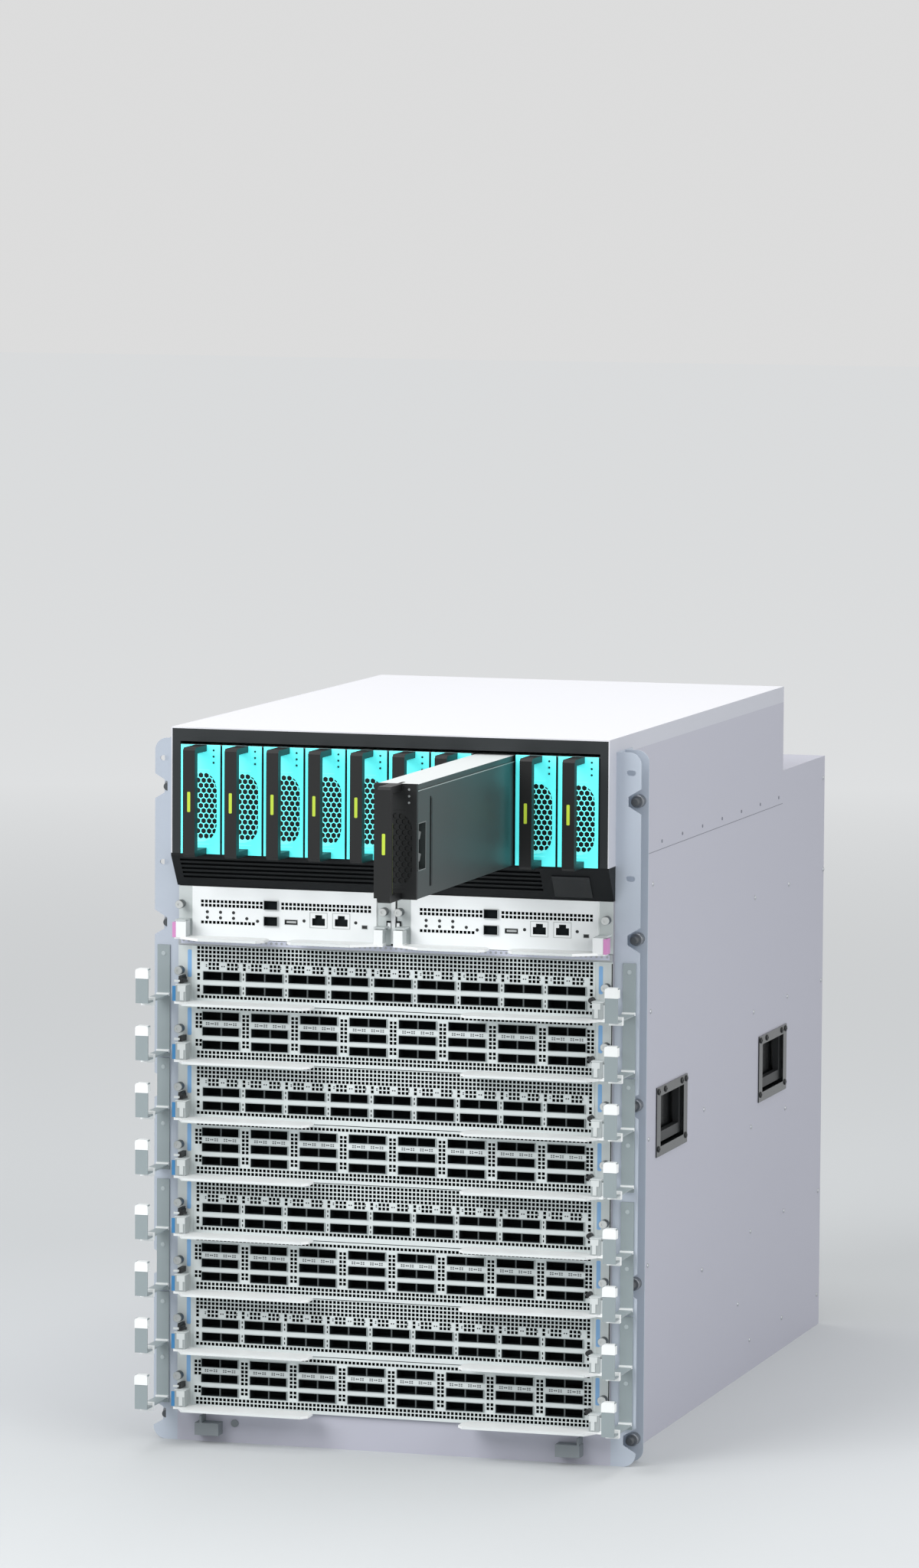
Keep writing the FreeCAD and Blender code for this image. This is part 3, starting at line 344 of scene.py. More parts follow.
def add_prism(bm, outline, axis, start, end, finish=0, place=at):
    """A closed solid drawn across an axis; its outline's pairs are the other two, in order."""
    ends = []
    for along in (start, end):
        spots = [list(pair) for pair in outline]
        for spot in spots:
            spot.insert("xyz".index(axis), along)
        ends.append([bm.verts.new(place(*spot)) for spot in spots])
    near, far = ends
    for face in [bm.faces.new(near), bm.faces.new(far[::-1]), *bridge(bm, near, far)]:
        face.material_index = finish


def ring(across, up, radius, sides=16, turn=0.0):
    """The corners of a round outline."""
    angles = [turn + 2 * math.pi * i / sides for i in range(sides)]
    return [(across + radius * math.cos(a), up + radius * math.sin(a)) for a in angles]


def rounded_box(left, right, low, high, radius, steps=3):
    """The outline of a rectangle with round corners."""
    points = []
    for cx, cz, turn in ((right - radius, low + radius, -90), (right - radius, high - radius, 0),
                         (left + radius, high - radius, 90), (left + radius, low + radius, 180)):
        for i in range(steps + 1):
            angle = math.radians(turn + 90 * i / steps)
            points.append((cx + radius * math.cos(angle), cz + radius * math.sin(angle)))
    return points


def as_mesh(name, bm, *finishes):
    """Ends the drawing: faces turned outwards, and the finishes in their slots."""
    bmesh.ops.recalc_face_normals(bm, faces=bm.faces)
    mesh = bpy.data.meshes.new(name)
    bm.to_mesh(mesh)
    bm.free()
    for finish in finishes:
        mesh.materials.append(finish)
    return mesh


def boxes(name, corners, *finishes, place=at):
    """Closed boxes, each given as (low, high) or (low, high, finish), as one mesh."""
    bm = bmesh.new()
    for low, high, *finish in corners:
        add_box(bm, low, high, *finish, place=place)
    return as_mesh(name, bm, *finishes)


def new_object(name, data):
    """A mesh, light or camera as an object in the scene."""
    made = bpy.data.objects.new(name, data)
    bpy.context.scene.collection.objects.link(made)
    return made


def modified_mesh(host, helper):
    """What an object's modifier makes of it with a second object; both objects then go."""
    evaluated = host.evaluated_get(bpy.context.evaluated_depsgraph_get())
    made = bpy.data.meshes.new_from_object(evaluated)
    for used in (helper, host):
        bpy.data.objects.remove(used)
    return made


def settle(name, mesh, body):
    """A finished mesh becomes a piece that rides on a body."""
    piece = new_object(name, mesh)
    piece.data.name = name
    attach(piece, body)


def join_meshes(name, meshes):
    """Several meshes as one, their finishes kept."""
    bm = bmesh.new()
    finishes = []
    for mesh in meshes:
        start = len(bm.faces)
        bm.from_mesh(mesh)
        bm.faces.ensure_lookup_table()
        finishes += [finish for finish in mesh.materials if finish not in finishes]
        for face in bm.faces[start:]:
            face.material_index = finishes.index(mesh.materials[face.material_index])
        bpy.data.meshes.remove(mesh)
    joined = bpy.data.meshes.new(name)
    bm.to_mesh(joined)
    bm.free()
    for finish in finishes:
        joined.materials.append(finish)
    return joined


# repeated pieces

WELD = 0.00001


def stamp_tree():
    """Sets one drawn piece on every point of a host mesh, welds neighbours and gives the finish."""
    tree = bpy.data.node_groups.new("stamp", "GeometryNodeTree")
    names = {name: tree.interface.new_socket(name, in_out="INPUT", socket_type=kind).identifier
             for name, kind in (("Points", "NodeSocketGeometry"), ("Piece", "NodeSocketObject"),
                                ("Finish", "NodeSocketMaterial"))}
    tree.interface.new_socket("Geometry", in_out="OUTPUT", socket_type="NodeSocketGeometry")
    given = add_node(tree, "NodeGroupInput").outputs
    piece = add_node(tree, "GeometryNodeObjectInfo", {"As Instance": True},
                     [("Object", given["Piece"])])
    spread = add_node(tree, "GeometryNodeInstanceOnPoints", None,
                      [("Points", given["Points"]), ("Instance", piece.outputs["Geometry"])])
    solid = add_node(tree, "GeometryNodeRealizeInstances", None,
                     [("Geometry", spread.outputs["Instances"])])
    welded = add_node(tree, "GeometryNodeMergeByDistance", {"Distance": WELD},
                      [("Geometry", solid.outputs["Geometry"])])
    painted = add_node(tree, "GeometryNodeSetMaterial", None,
                       [("Geometry", welded.outputs["Geometry"]), ("Material", given["Finish"])])
    add_node(tree, "NodeGroupOutput", None, [("Geometry", painted.outputs["Geometry"])])
    return tree, names


STAMP, STAMP_INPUTS = stamp_tree()


def stamped(points, piece_mesh, finish):
    """A drawn piece repeated at every point, as one mesh. Points are places in metres."""
    host_mesh = bpy.data.meshes.new("points")
    host_mesh.from_pydata([tuple(point) for point in points], [], [])
    piece = new_object("stamp_piece", piece_mesh)
    host = new_object("host", host_mesh)
    modifier = host.modifiers.new("nodes", "NODES")
    modifier.node_group = STAMP
    modifier[STAMP_INPUTS["Piece"]] = piece
    modifier[STAMP_INPUTS["Finish"]] = finish
    made = modified_mesh(host, piece)
    bpy.data.meshes.remove(host_mesh)
    return made


def turned_profile(profile, sides=16, axis="y"):
    """A piece turned round an axis from (radius, distance along it) pairs, closed at both ends."""
    bm = bmesh.new()
    loops = []
    for radius, along in profile:
        spots = [list(pair) for pair in ring(0, 0, radius, sides)]
        for spot in spots:
            spot.insert("xyz".index(axis), along)
        loops.append([bm.verts.new(local(*spot)) for spot in spots])
    for near, far in zip(loops, loops[1:]):
        bridge(bm, near, far)
    bm.faces.new(loops[0])
    bm.faces.new(loops[-1][::-1])
    return as_mesh("turned", bm)


def holed_cell(width, height, hole, thick):
    """A rectangle of sheet with a hole in it, its outer edges open so that neighbours weld."""
    bm = bmesh.new()
    sides = len(hole)
    outline = []
    for across, up in hole:
        reach = max(abs(across) / (width / 2), abs(up) / (height / 2))
        outline.append((across / reach, up / reach))
    front, back = [[[bm.verts.new(local(a, y, u)) for a, u in pairs] for pairs in (hole, outline)]
                   for y in (-thick, 0)]
    for i in range(sides):
        k = (i + 1) % sides
        bm.faces.new((front[1][i], front[1][k], front[0][k], front[0][i]))
        bm.faces.new((back[1][k], back[1][i], back[0][i], back[0][k]))
        bm.faces.new((front[0][i], front[0][k], back[0][k], back[0][i]))
    return as_mesh("cell", bm)


def pierced_plate(name, across, up, openings, front, back, finish):
    """A flat sheet with rectangular openings: (left, right, low, high), as one closed shell."""
    xs = sorted({*across, *(v for o in openings for v in o[:2] if across[0] < v < across[1])})
    zs = sorted({*up, *(v for o in openings for v in o[2:] if up[0] < v < up[1])})
    solid = set()
    for i, x in enumerate((one + two) / 2 for one, two in zip(xs, xs[1:])):
        over = [o for o in openings if o[0] < x < o[1]]
        for k, z in enumerate((one + two) / 2 for one, two in zip(zs, zs[1:])):
            if not any(o[2] < z < o[3] for o in over):
                solid.add((i, k))
    bm = bmesh.new()
    verts = {}

    def corner(i, k, y):
        if (i, k, y) not in verts:
            verts[i, k, y] = bm.verts.new(at(xs[i], y, zs[k]))
        return verts[i, k, y]

    for i, k in sorted(solid):
        ends = ((i, k), (i + 1, k), (i + 1, k + 1), (i, k + 1))
        bm.faces.new([corner(*end, front) for end in ends])
        bm.faces.new([corner(*end, back) for end in reversed(ends)])
        for beside, a, b in (((i, k - 1), 0, 1), ((i + 1, k), 1, 2), ((i, k + 1), 2, 3),
                             ((i - 1, k), 3, 0)):
            if beside not in solid:
                bm.faces.new((corner(*ends[b], front), corner(*ends[a], front),
                              corner(*ends[a], back), corner(*ends[b], back)))
    return as_mesh(name, bm, finish)


# line cards

CELL = 3.95              # pitch of the vents' square holes, and half the width of a hole
CELL_TALL = 3.9
HOLE = 1.42
SHEET = 0.5
FACE_HALF = 199.5
CARD_PITCH = 56.2
TOP_GAP = 0.4            # from the top of a card's pitch down to its panel
PAIR = 36.8              # width of a pair of ports, half their height, and their rim
PORT_HALF = 4.0
RIM = 0.6
RIM_PROUD = 1.8
PORT_DEPTH = 17
LINING = 0.06
SCREW_COLUMN = 212


def vent_cell(sheet):
    """One square hole of a vent, with its share of the sheet round it."""
    corners = ((-1, -1), (1, -1), (1, 1), (-1, 1))
    return holed_cell(CELL, CELL_TALL, [(HOLE * a, HOLE * u) for a, u in corners], sheet)


def vent_block(middle, top_row, columns, rows):
    """The holes of a block of vents as (x, drop) pairs, and the rectangle that they fill."""
    spots = [(middle + (i - (columns - 1) / 2) * CELL, top_row + k * CELL_TALL)
             for i in range(columns) for k in range(rows)]
    half = columns * CELL / 2
    return spots, (middle - half, middle + half, top_row - CELL_TALL / 2,
                   top_row + (rows - 0.5) * CELL_TALL)


def card_plan(wide):
    """Blocks of vents, single slots, ports and lamps of one face, as drops below the card's top."""
    count, pitch, rows = (9, 42.94, (29.2, 42.6)) if wide else (8, 49.27, (11.9, 26.8, 39.9))
    lefts = [(i - (count - 1) / 2) * pitch - PAIR / 2 for i in range(count)]
    ports = [(left, left + PAIR, drop - PORT_HALF, drop + PORT_HALF)
             for left in lefts for drop in rows]
    slots, lamps, marks = [], [], []
    if wide:
        blocks = [vent_block(0, 2.4, 100, 4), vent_block(0, 49.6, 100, 1)]
        for i, left in enumerate(lefts):
            blocks += [vent_block(left + 10, 18.0, 3, 2), vent_block(left + 28.7, 18.0, 3, 2)]
            lamps += [(left + 18.3, 19.9), (left + 20.5, 19.9)]
            marks += [(left + 2.6, 19.4), (left + 34.4, 19.4)]
            if i < count - 1:
                blocks.append(vent_block(left + 40.9, 18.0, 1, 2))
                slots += [(left + 39.9, drop + off, 0.6, 1.2)
                          for drop in rows for off in (-2.2, 2.2)]
        for x in (-195.5, 195.5):
            blocks.append(vent_block(x, 18.0, 1, 2))
            slots += [(x, drop, HOLE, HOLE) for drop in (28.3, 32.1, 39.6, 43.4)]
    else:
        blocks = [vent_block(0, 4.0, 100, 1), vent_block(0, 47.2, 100, 2)]
        for left in lefts[:-1]:
            middle = left + (PAIR + pitch) / 2
            blocks += [vent_block(middle, 11.0, 2, 6), vent_block(middle, 36.5, 2, 2)]
        for x, high in ((-195.1, 4), (195.1, 6)):
            blocks += [vent_block(x, 10.8, 2, high), vent_block(x, 36.0, 2, 2)]
        for left in lefts:
            for middle in (left + 9.2, left + 27.6):
                lamps += [(middle + off, 19.3) for off in (-0.9, 0.9)]
                marks += [(middle + off, 19.3) for off in (-5.6, -3.4, 3.4, 5.6)]
    return blocks, slots, ports, lamps, marks


def vented_face(across, up, top, blocks, ports, slots, inset, cell, paint, dark, sheet):
    """A perforated face sheet, and a near-black sheet close behind it, painted shade that its holes
    show.
    """
    rects = [(x0, x1, top - d1, top - d0) for _, (x0, x1, d0, d1) in blocks]
    plate = pierced_plate("plate", across, up, rects + ports + slots, PANEL - sheet, PANEL, paint)
    vents = stamped([at(x, PANEL, top - d) for holes, _ in blocks for x, d in holes], cell, paint)
    shade = pierced_plate("shade", (across[0] + inset[0], across[1] - inset[0]),
                          (up[0] + inset[1], up[1] - inset[1]), ports,
                          PANEL - 0.12, PANEL - 0.03, dark)
    return join_meshes("face", [plate, vents]), shade


def card_top(node):
    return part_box(node)[1].z / MM + TOP_GAP


class CardFace(bpy.types.PropertyGroup):
    colour: FloatVectorProperty(name="Panels", description="Paint of the perforated card faces",
                                subtype="COLOR", size=4, default=linear("#d3dada"))
    sheet: FloatProperty(name="Sheet", description="Thickness of the perforated face sheets",
                         default=SHEET * MM, min=0.0001, unit="LENGTH")


class CHASSIS_OT_card_faces(bpy.types.Operator):
    """Perforated face sheets of the line cards, with their port frames and lamps"""
    bl_idname = "chassis.card_faces"
    bl_label = "Card faces"

    def execute(self, context):
        settings = context.scene.chassis_card_face
        sheet = settings.sheet / MM
        paint = powder_coat("card_face_powder_coat", settings.colour, 0.45)
        port_finishes = (plated("port_cage_steel", "#a3abab", 0.4),
                         # Painted shade: the black lining inside the ports.
                         plain("port_painted_shade", "#1a1f21", 0.8, sheen=0.1),
                         plain("port_divider_steel", "#53595a", 0.6, sheen=0.2))
        lamp = plain("lamp_lens", "#3a4143", 0.3)
        # Painted shade: a near-black sheet behind the holes of the vents.
        dark = plain("vent_painted_shade", "#030404", 0.9, sheen=0.0)
        cell = vent_cell(sheet)
        for i, node in enumerate(LINE_CARDS):
            blocks, slots, ports, lamps, marks = card_plan(i % 2 == 0)
            top, body = card_top(node), node + "_body"
            face, shade = vented_face(
                (-FACE_HALF, FACE_HALF), (top - CARD_PITCH + TOP_GAP, top - TOP_GAP), top, blocks,
                [(x0, x1, top - d1, top - d0) for x0, x1, d0, d1 in ports],
                [(x - w, x + w, top - d - h, top - d + h) for x, d, w, h in slots],
                (0, TOP_GAP), cell, paint, dark, sheet)
            settle(f"card_shade_{i + 1}", shade, body)
            settle(f"card_face_{i + 1}", face, body)

            def fronts(pairs):
                return [at(x, PANEL - sheet, top - d) for x, d in pairs]

            middles = [((x0 + x1) / 2, (d0 + d1) / 2) for x0, x1, d0, d1 in ports]
            frames = port_frames(fronts(middles), *port_finishes)
            settle(f"card_ports_{i + 1}", frames, body)
            dot = turned_profile([(0.75, 0.1), (0.75, -0.15), (0.5, -0.3)], 8)
            tick = boxes("tick", (((-0.7, -0.12, -1.3), (0.7, 0.1, -0.3)),
                                  ((-0.7, -0.12, 0.3), (0.7, 0.1, 1.3))), place=local)
            both = [stamped(fronts(lamps), dot, lamp), stamped(fronts(marks), tick, lamp)]
            settle(f"card_lamps_{i + 1}", join_meshes("lamps", both), body)
        bpy.data.meshes.remove(cell)
        return {"FINISHED"}


def port_frames(spots, steel, lining, shade):
    """Folded cage rims standing proud beside each pair of ports, lined in black as painted shade,
    with a divider.
    """
    half, tall, deep = PAIR / 2, PORT_HALF, PORT_DEPTH
    rim = boxes("rim", (((-half - RIM, -0.5, tall), (half + RIM, 0.2, tall + RIM)),
                        ((-half - RIM, -0.5, -tall - RIM), (half + RIM, 0.2, -tall)),
                        ((-half - RIM, -RIM_PROUD, -tall), (-half, 0.2, tall)),
                        ((half, -RIM_PROUD, -tall), (half + RIM, 0.2, tall))), place=local)
    divider = boxes("divider", (((-0.6, -0.1, -tall), (0.6, 1.5, tall)),), place=local)
    # Painted shade: black walls and a back inside each port.
    edge, skin = -RIM_PROUD + 0.02, LINING
    inside = boxes("inside", (((-half, -0.2, tall - skin), (half, deep, tall)),
                              ((-half, -0.2, -tall), (half, deep, -tall + skin)),
                              ((-half, edge, -tall + skin), (-half + skin, deep, tall - skin)),
                              ((half - skin, edge, -tall + skin), (half, deep, tall - skin)),
                              ((-half, deep, -tall), (half, deep + 0.4, tall))), place=local)
    return join_meshes("frames", [stamped(spots, rim, steel), stamped(spots, inside, lining),
                                  stamped(spots, divider, shade)])


class CHASSIS_OT_card_ends(bpy.types.Operator):
    """Captive screws, coloured strips, latches and lever fronts at the ends of the line cards"""
    bl_idname = "chassis.card_ends"
    bl_label = "Card ends"

    def execute(self, context):
        blue = plain("blue_label_film", "#80aedb", 0.4)
        screw = plated("screw_nickel", "#c9cccb", 0.3)
        # Painted shade: the screws' knurled flanks are darker than their faces.
        shaded_flank = plated("screw_flank_painted_shade", "#5f6466", 0.4)
        white = moulded("lever_front_nylon", "#d2d7d7", 0.4)
        black = plain("latch_steel_and_gap_shade", "#17191b", 0.45)
        # The hubs' grey is painted shade.
        lever_finishes = (moulded("lever_hub_painted_shade", "#a4abac", 0.4), white,
                          plain("blue_lever_film", "#3a80b5", 0.4))
        for i, node in enumerate(LINE_CARDS):
            top, body = card_top(node), node + "_body"
            bm = bmesh.new()
            for left in (-206.6, 202.6):
                outline = rounded_box(left, left + 4, top - 31.2, top - 4.6, 1.2)
                add_prism(bm, outline, "y", PANEL - 0.12, PANEL + 0.1)
            # Painted shade: a black strip at the card's right end, in the gap beside it; the same
            # black serves the latches.
            add_box(bm, (215.1, PANEL - 0.1, top - CARD_PITCH + 2),
                    (216.1, PANEL + 0.1, top - 2), 1)
            settle(f"card_strips_{i + 1}", as_mesh("strips", bm, blue, black), body)
            spots = [at(x, PANEL, top - 24) for x in (-SCREW_COLUMN, SCREW_COLUMN)]
            settle(f"card_screws_{i + 1}", thumb_screws(spots, screw, shaded_flank), body)
            latch = latch_mesh(top, i % 2 == 0, black, white)
            settle(f"card_latch_{i + 1}", latch, body)
            for side, name in ((-1, "left"), (1, "right")):
                front = lever_front(side, top - CARD_PITCH + TOP_GAP, lever_finishes)
                settle(f"lever_front_{i + 1}_{name}", front, f"card_lever_{i + 1}_{name}_body")
        return {"FINISHED"}


def thumb_screws(spots, bright, shaded_flank):
    """Captive thumb screws: a bright face, with a knurled head and thinner neck behind it painted
    darker as shade.
    """
    face = turned_profile([(4.0, -12.4), (4.15, -12.9), (3.7, -13.7), (1.5, -13.7),
                           (1.5, -12.9)], 20)
    # Painted shade: the knurled head and the neck are darker than the face.
    body = turned_profile([(2.2, 0.2), (2.2, -4), (3.7, -4.2), (4.1, -5), (4.1, -12.4)], 20)
    return join_meshes("screws", [stamped(spots, face, bright), stamped(spots, body, shaded_flank)])


def lever_front(side, foot, finishes, smooth=False):
    """The block at the front of a lever's hub, painted grey as shade: a raised T or a smooth cap,
    and a film strip.
    """
    bm = bmesh.new()
    top = foot + 18.5

    def part(near, far, front, back, low, high, finish):
        x = sorted((side * near, side * far))
        add_box(bm, (x[0], front, low), (x[1], back, high), finish)

    # Painted shade: the hub block is grey, the white of the nylon is on the T and the cap.
    part(201.6, 212.0, -23.8, -12, foot + 3.1, top + 0.4, 0)
    if smooth:
        part(201.8, 211.8, -24.4, -23.8, foot + 3.3, top + 0.2, 1)
        part(212.1, 215.6, -23.7, -12.0, foot + 3.4, top - 0.6, 2)
    else:
        part(201.9, 210.0, -24.6, -23.8, top - 5.9, top, 1)
        part(203.9, 207.6, -24.6, -23.8, foot + 4.2, top - 5.9, 1)
        part(201.0, 212.4, -24.0, -14, top + 0.4, top + 1.1, 1)
        if side < 0:
            part(212.1, 215.5, -23.7, -23.0, foot + 3.4, top - 0.6, 2)
    return as_mesh("front", bm, *finishes)


def latch_mesh(top, crossed, black, white):
    """A spring latch with a white pin above the left lever, a round knob above the right one."""
    bm = bmesh.new()
    add_box(bm, (-211.2, -18, top - 36.0), (-207.6, PANEL, top - 31.0))
    if crossed:
        add_box(bm, (-211.2, -17.6, top - 31.0), (-208.4, PANEL, top - 29.0))
        add_box(bm, (-207.6, -17.2, top - 34.6), (-202.6, -15, top - 32.4))
    add_prism(bm, ring(197, top - 36.6, 2.6), "y", -12, PANEL)
    add_box(bm, (-215.0, -19.5, top - 34.6), (-209.6, -17.6, top - 32.6), 1)
    return as_mesh("latch", bm, black, white)


# supplies

HEX_STEP = 5.57          # honeycomb: steps across and up, width over flats, lift of the middle row
HEX_ROW = 4.85
HEX_ACROSS = 4.7
HEX_LIFT = 1.2
VENT_HALF = 16.0         # the vent's half width, foot and height
VENT_LOW = 11.4
VENT_TALL = 67.4
VENT_SHEET = 0.6
LAMP_HEIGHTS = (99.6, 93.6, 87.7)
WINDOW = (22, 42)        # depth and height of a supply's fan window, and the width of its rim
WINDOW_RIM = 0.9


def obround(half, low, high, steps=14):
    """A round-ended upright outline about x = 0."""
    angles = [math.pi * i / steps for i in range(steps + 1)]
    points = [(half * math.cos(a), high - half + half * math.sin(a)) for a in angles]
    return points + [(-x, low + high - z) for x, z in points]


def honeycomb_plate(thick):
    """The vent's plate about x = 0 and the case's foot: an obround with six-sided holes."""
    low, high = VENT_LOW, VENT_LOW + VENT_TALL
    bm = bmesh.new()
    add_prism(bm, obround(VENT_HALF - 0.2, low + 0.2, high - 0.2), "y", 0, thick)
    plate = new_object("plate", as_mesh("plate", bm))
    bm = bmesh.new()
    for k in range(-6, 7):
        z = (low + high) / 2 + HEX_LIFT + k * HEX_ROW
        for i in range(-3, 4):
            across = (i + (k % 2) * 0.5) * HEX_STEP
            hole = ring(across, z, HEX_ACROSS / math.sqrt(3), 6, math.pi / 2)
            add_prism(bm, hole, "y", -1, thick + 1)
    cutter = new_object("cutter", as_mesh("cutter", bm))
    cut = plate.modifiers.new("holes", "BOOLEAN")
    cut.operation, cut.solver, cut.object = "DIFFERENCE", "EXACT", cutter
    return modified_mesh(plate, cutter)


class CHASSIS_OT_supply_faces(bpy.types.Operator):
    """Honeycomb vents, status lamps, stripes and side trim of the supplies, vents and stripes with
    a painted glow
    """
    bl_idname = "chassis.supply_faces"
    bl_label = "Supply faces"

    def execute(self, context):
        # Painted glow on the seated supplies' vents, though they are no lamps; the drawn supply's
        # vent is unlit.
        looks = {True: (glow_painted_plastic("vent_polycarbonate_painted_glow", "#7cffff", 0.55),
                        plain("lamp_lens_teal", "#0c3d40", 0.3)),
                 False: (moulded("vent_abs_unlit", "#141718", 0.5, 0.3),
                         plain("lamp_lens_off", "#8b9090", 0.35))}
        # Painted glow on the stripe, though it is no lamp.
        stripe = glow_painted_plastic("stripe_painted_glow", "#a9bf38", 0.32)
        guide = plain("light_guide_edge", "#4c5626", 0.4)
        # Painted highlight: a light line along each side's ledge.
        side_finishes = (plain("supply_ledge_highlight", "#9aa5a4", 0.5),
                         moulded("blade_nylon", "#707575", 0.5),
                         plain("supply_slot_shade", "#0e1112", 0.7, sheen=0.1))
        plate = honeycomb_plate(VENT_SHEET)
        for number, node in enumerate(SUPPLIES, 1):
            low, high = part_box(node)
            web, lamp = looks[node != DRAWN_SUPPLY]
            middle, foot = (low.x + high.x) / 2 / MM, low.z / MM
            face = (low.y - EAR_PLANE) / MM + GRIP_DEPTH
            body = node + "_body"
            mesh = plate.copy()
            mesh.transform(Matrix.Translation((middle * MM, (face + 0.05) * MM, foot * MM)))
            mesh.materials.clear()
            mesh.materials.append(web)
            settle(f"supply_vent_{number}", mesh, body)
            dots = stamped([at(middle + 12.8, face, foot + up) for up in LAMP_HEIGHTS],
                           turned_profile([(1.1, 0.2), (1.1, -0.25), (0.8, -0.4)], 10), lamp)
            settle(f"supply_lamps_{number}", dots, body)
            bm = bmesh.new()
            mark = rounded_box(middle - 1.5, middle + 1.5, foot + 43.4, foot + 62.6, 0.8)
            add_prism(bm, mark, "y", face - 36.3, face - 35.9)
            add_box(bm, (middle + 5.9, face - 28.4, foot + 8),
                    (middle + 6.15, face - 27.8, foot + 72), 1)
            lines = as_mesh("stripe", bm, stripe, guide)
            settle(f"supply_stripe_{number}", lines, body)
            bm = bmesh.new()
            for z in (foot + VENT_LOW - 2.4, foot + VENT_LOW + VENT_TALL + 1.6):
                add_prism(bm, rounded_box(middle - 9, middle + 9, z, z + 0.8, 0.39), "y",
                          face - 0.3, face + 0.2)
            settle(f"supply_rims_{number}", as_mesh("rims", bm, web), body)
            sides = supply_sides(low, high, side_finishes)
            settle(f"supply_sides_{number}", sides, body)
        bpy.data.meshes.remove(plate)
        return {"FINISHED"}


def supply_sides(low, high, finishes):
    """A painted highlight line along the ledge on each side of a case, rim and blades at its fan
    window, a slot on top.
    """
    left, right, foot, top = low.x / MM, high.x / MM, low.z / MM, high.z / MM
    face = (low.y - EAR_PLANE) / MM + GRIP_DEPTH
    bm = bmesh.new()
    # Painted highlight: a light line along each side's ledge.
    for x in (left + 0.5, right - 0.85):
        add_box(bm, (x, face + 4.2, top - 7.0), (x + 0.35, face + 440, top - 6.2))
    start, low_z = face + 8, foot + 26
    (deep, tall), rim = WINDOW, WINDOW_RIM
    for y0, y1, z0, z1 in ((-rim, deep + rim, -rim, 0), (-rim, deep + rim, tall, tall + rim),
                           (-rim, 0, 0, tall), (deep, deep + rim, 0, tall)):
        add_box(bm, (right - 0.9, start + y0, low_z + z0),
                (right - 0.45, start + y1, low_z + z1), 1)
    for z in (low_z + 4, low_z + 24):
        add_prism(bm, [(start, z), (start + 16, z + 3), (start + 20, z + 9), (start, z + 13)], "x",
                  right - 5.5, right - 4.2, 1)
    add_box(bm, (left + 19, face + 9, top - 0.9), (left + 21.5, face + 26, top - 0.55), 2)
    return as_mesh("sides", bm, *finishes)


# rear

FAN_PLACES = (-176.0, 0.0, 176.0)
FAN_BLADES = 7           # blades of a fan; each one's corners as radius, turn and depth
BLADE = ((17, -0.32, -16), (58, -0.25, -17), (58, 0.3, -8), (17, 0.3, -7))
GUARD_RADII = (12, 24, 36, 48, 61)
GUARD_SIDES = 24
INLET_STEP = 41.55


def fan_rotor():
    """Hub and raked blades of one fan, drawn about its centre with y to the back."""
    bm = bmesh.new()
    add_prism(bm, ring(0, 0, 19, 20), "y", -18, -6, place=local)
    for k in range(FAN_BLADES):
        turn = 2 * math.pi * k / FAN_BLADES
        corners = [(radius * math.cos(turn + lead), y, radius * math.sin(turn + lead))
                   for radius, lead, y in BLADE]
        near, far = [[bm.verts.new(local(x, y + thick, z)) for x, y, z in corners]
                     for thick in (0, 1.4)]
        bm.faces.new(near)
        bm.faces.new(far[::-1])
        bridge(bm, near, far)
    return as_mesh("rotor", bm)


def fan_guard():
    """Finger guard over one fan: wire rings on two crossed bars."""
    bm = bmesh.new()
    for radius in GUARD_RADII:
        rows = [[bm.verts.new(local(a, y, u)) for a, u in ring(0, 0, edge, GUARD_SIDES)]
                for y, edge in ((-2.4, radius - 0.9), (-2.4, radius + 0.9),
                                (-0.8, radius + 0.9), (-0.8, radius - 0.9))]
        for k in range(4):
            bridge(bm, rows[k - 1], rows[k])
    for turn in (math.pi / 4, 3 * math.pi / 4):
        along = Vector((math.cos(turn), math.sin(turn)))
        side = Vector((-along.y, along.x)) * 0.9
        along *= 62
        corners = (along + side, along - side, -side - along, side - along)
        add_prism(bm, corners, "y", -2.2, -1.0, place=local)
    return as_mesh("guard", bm)


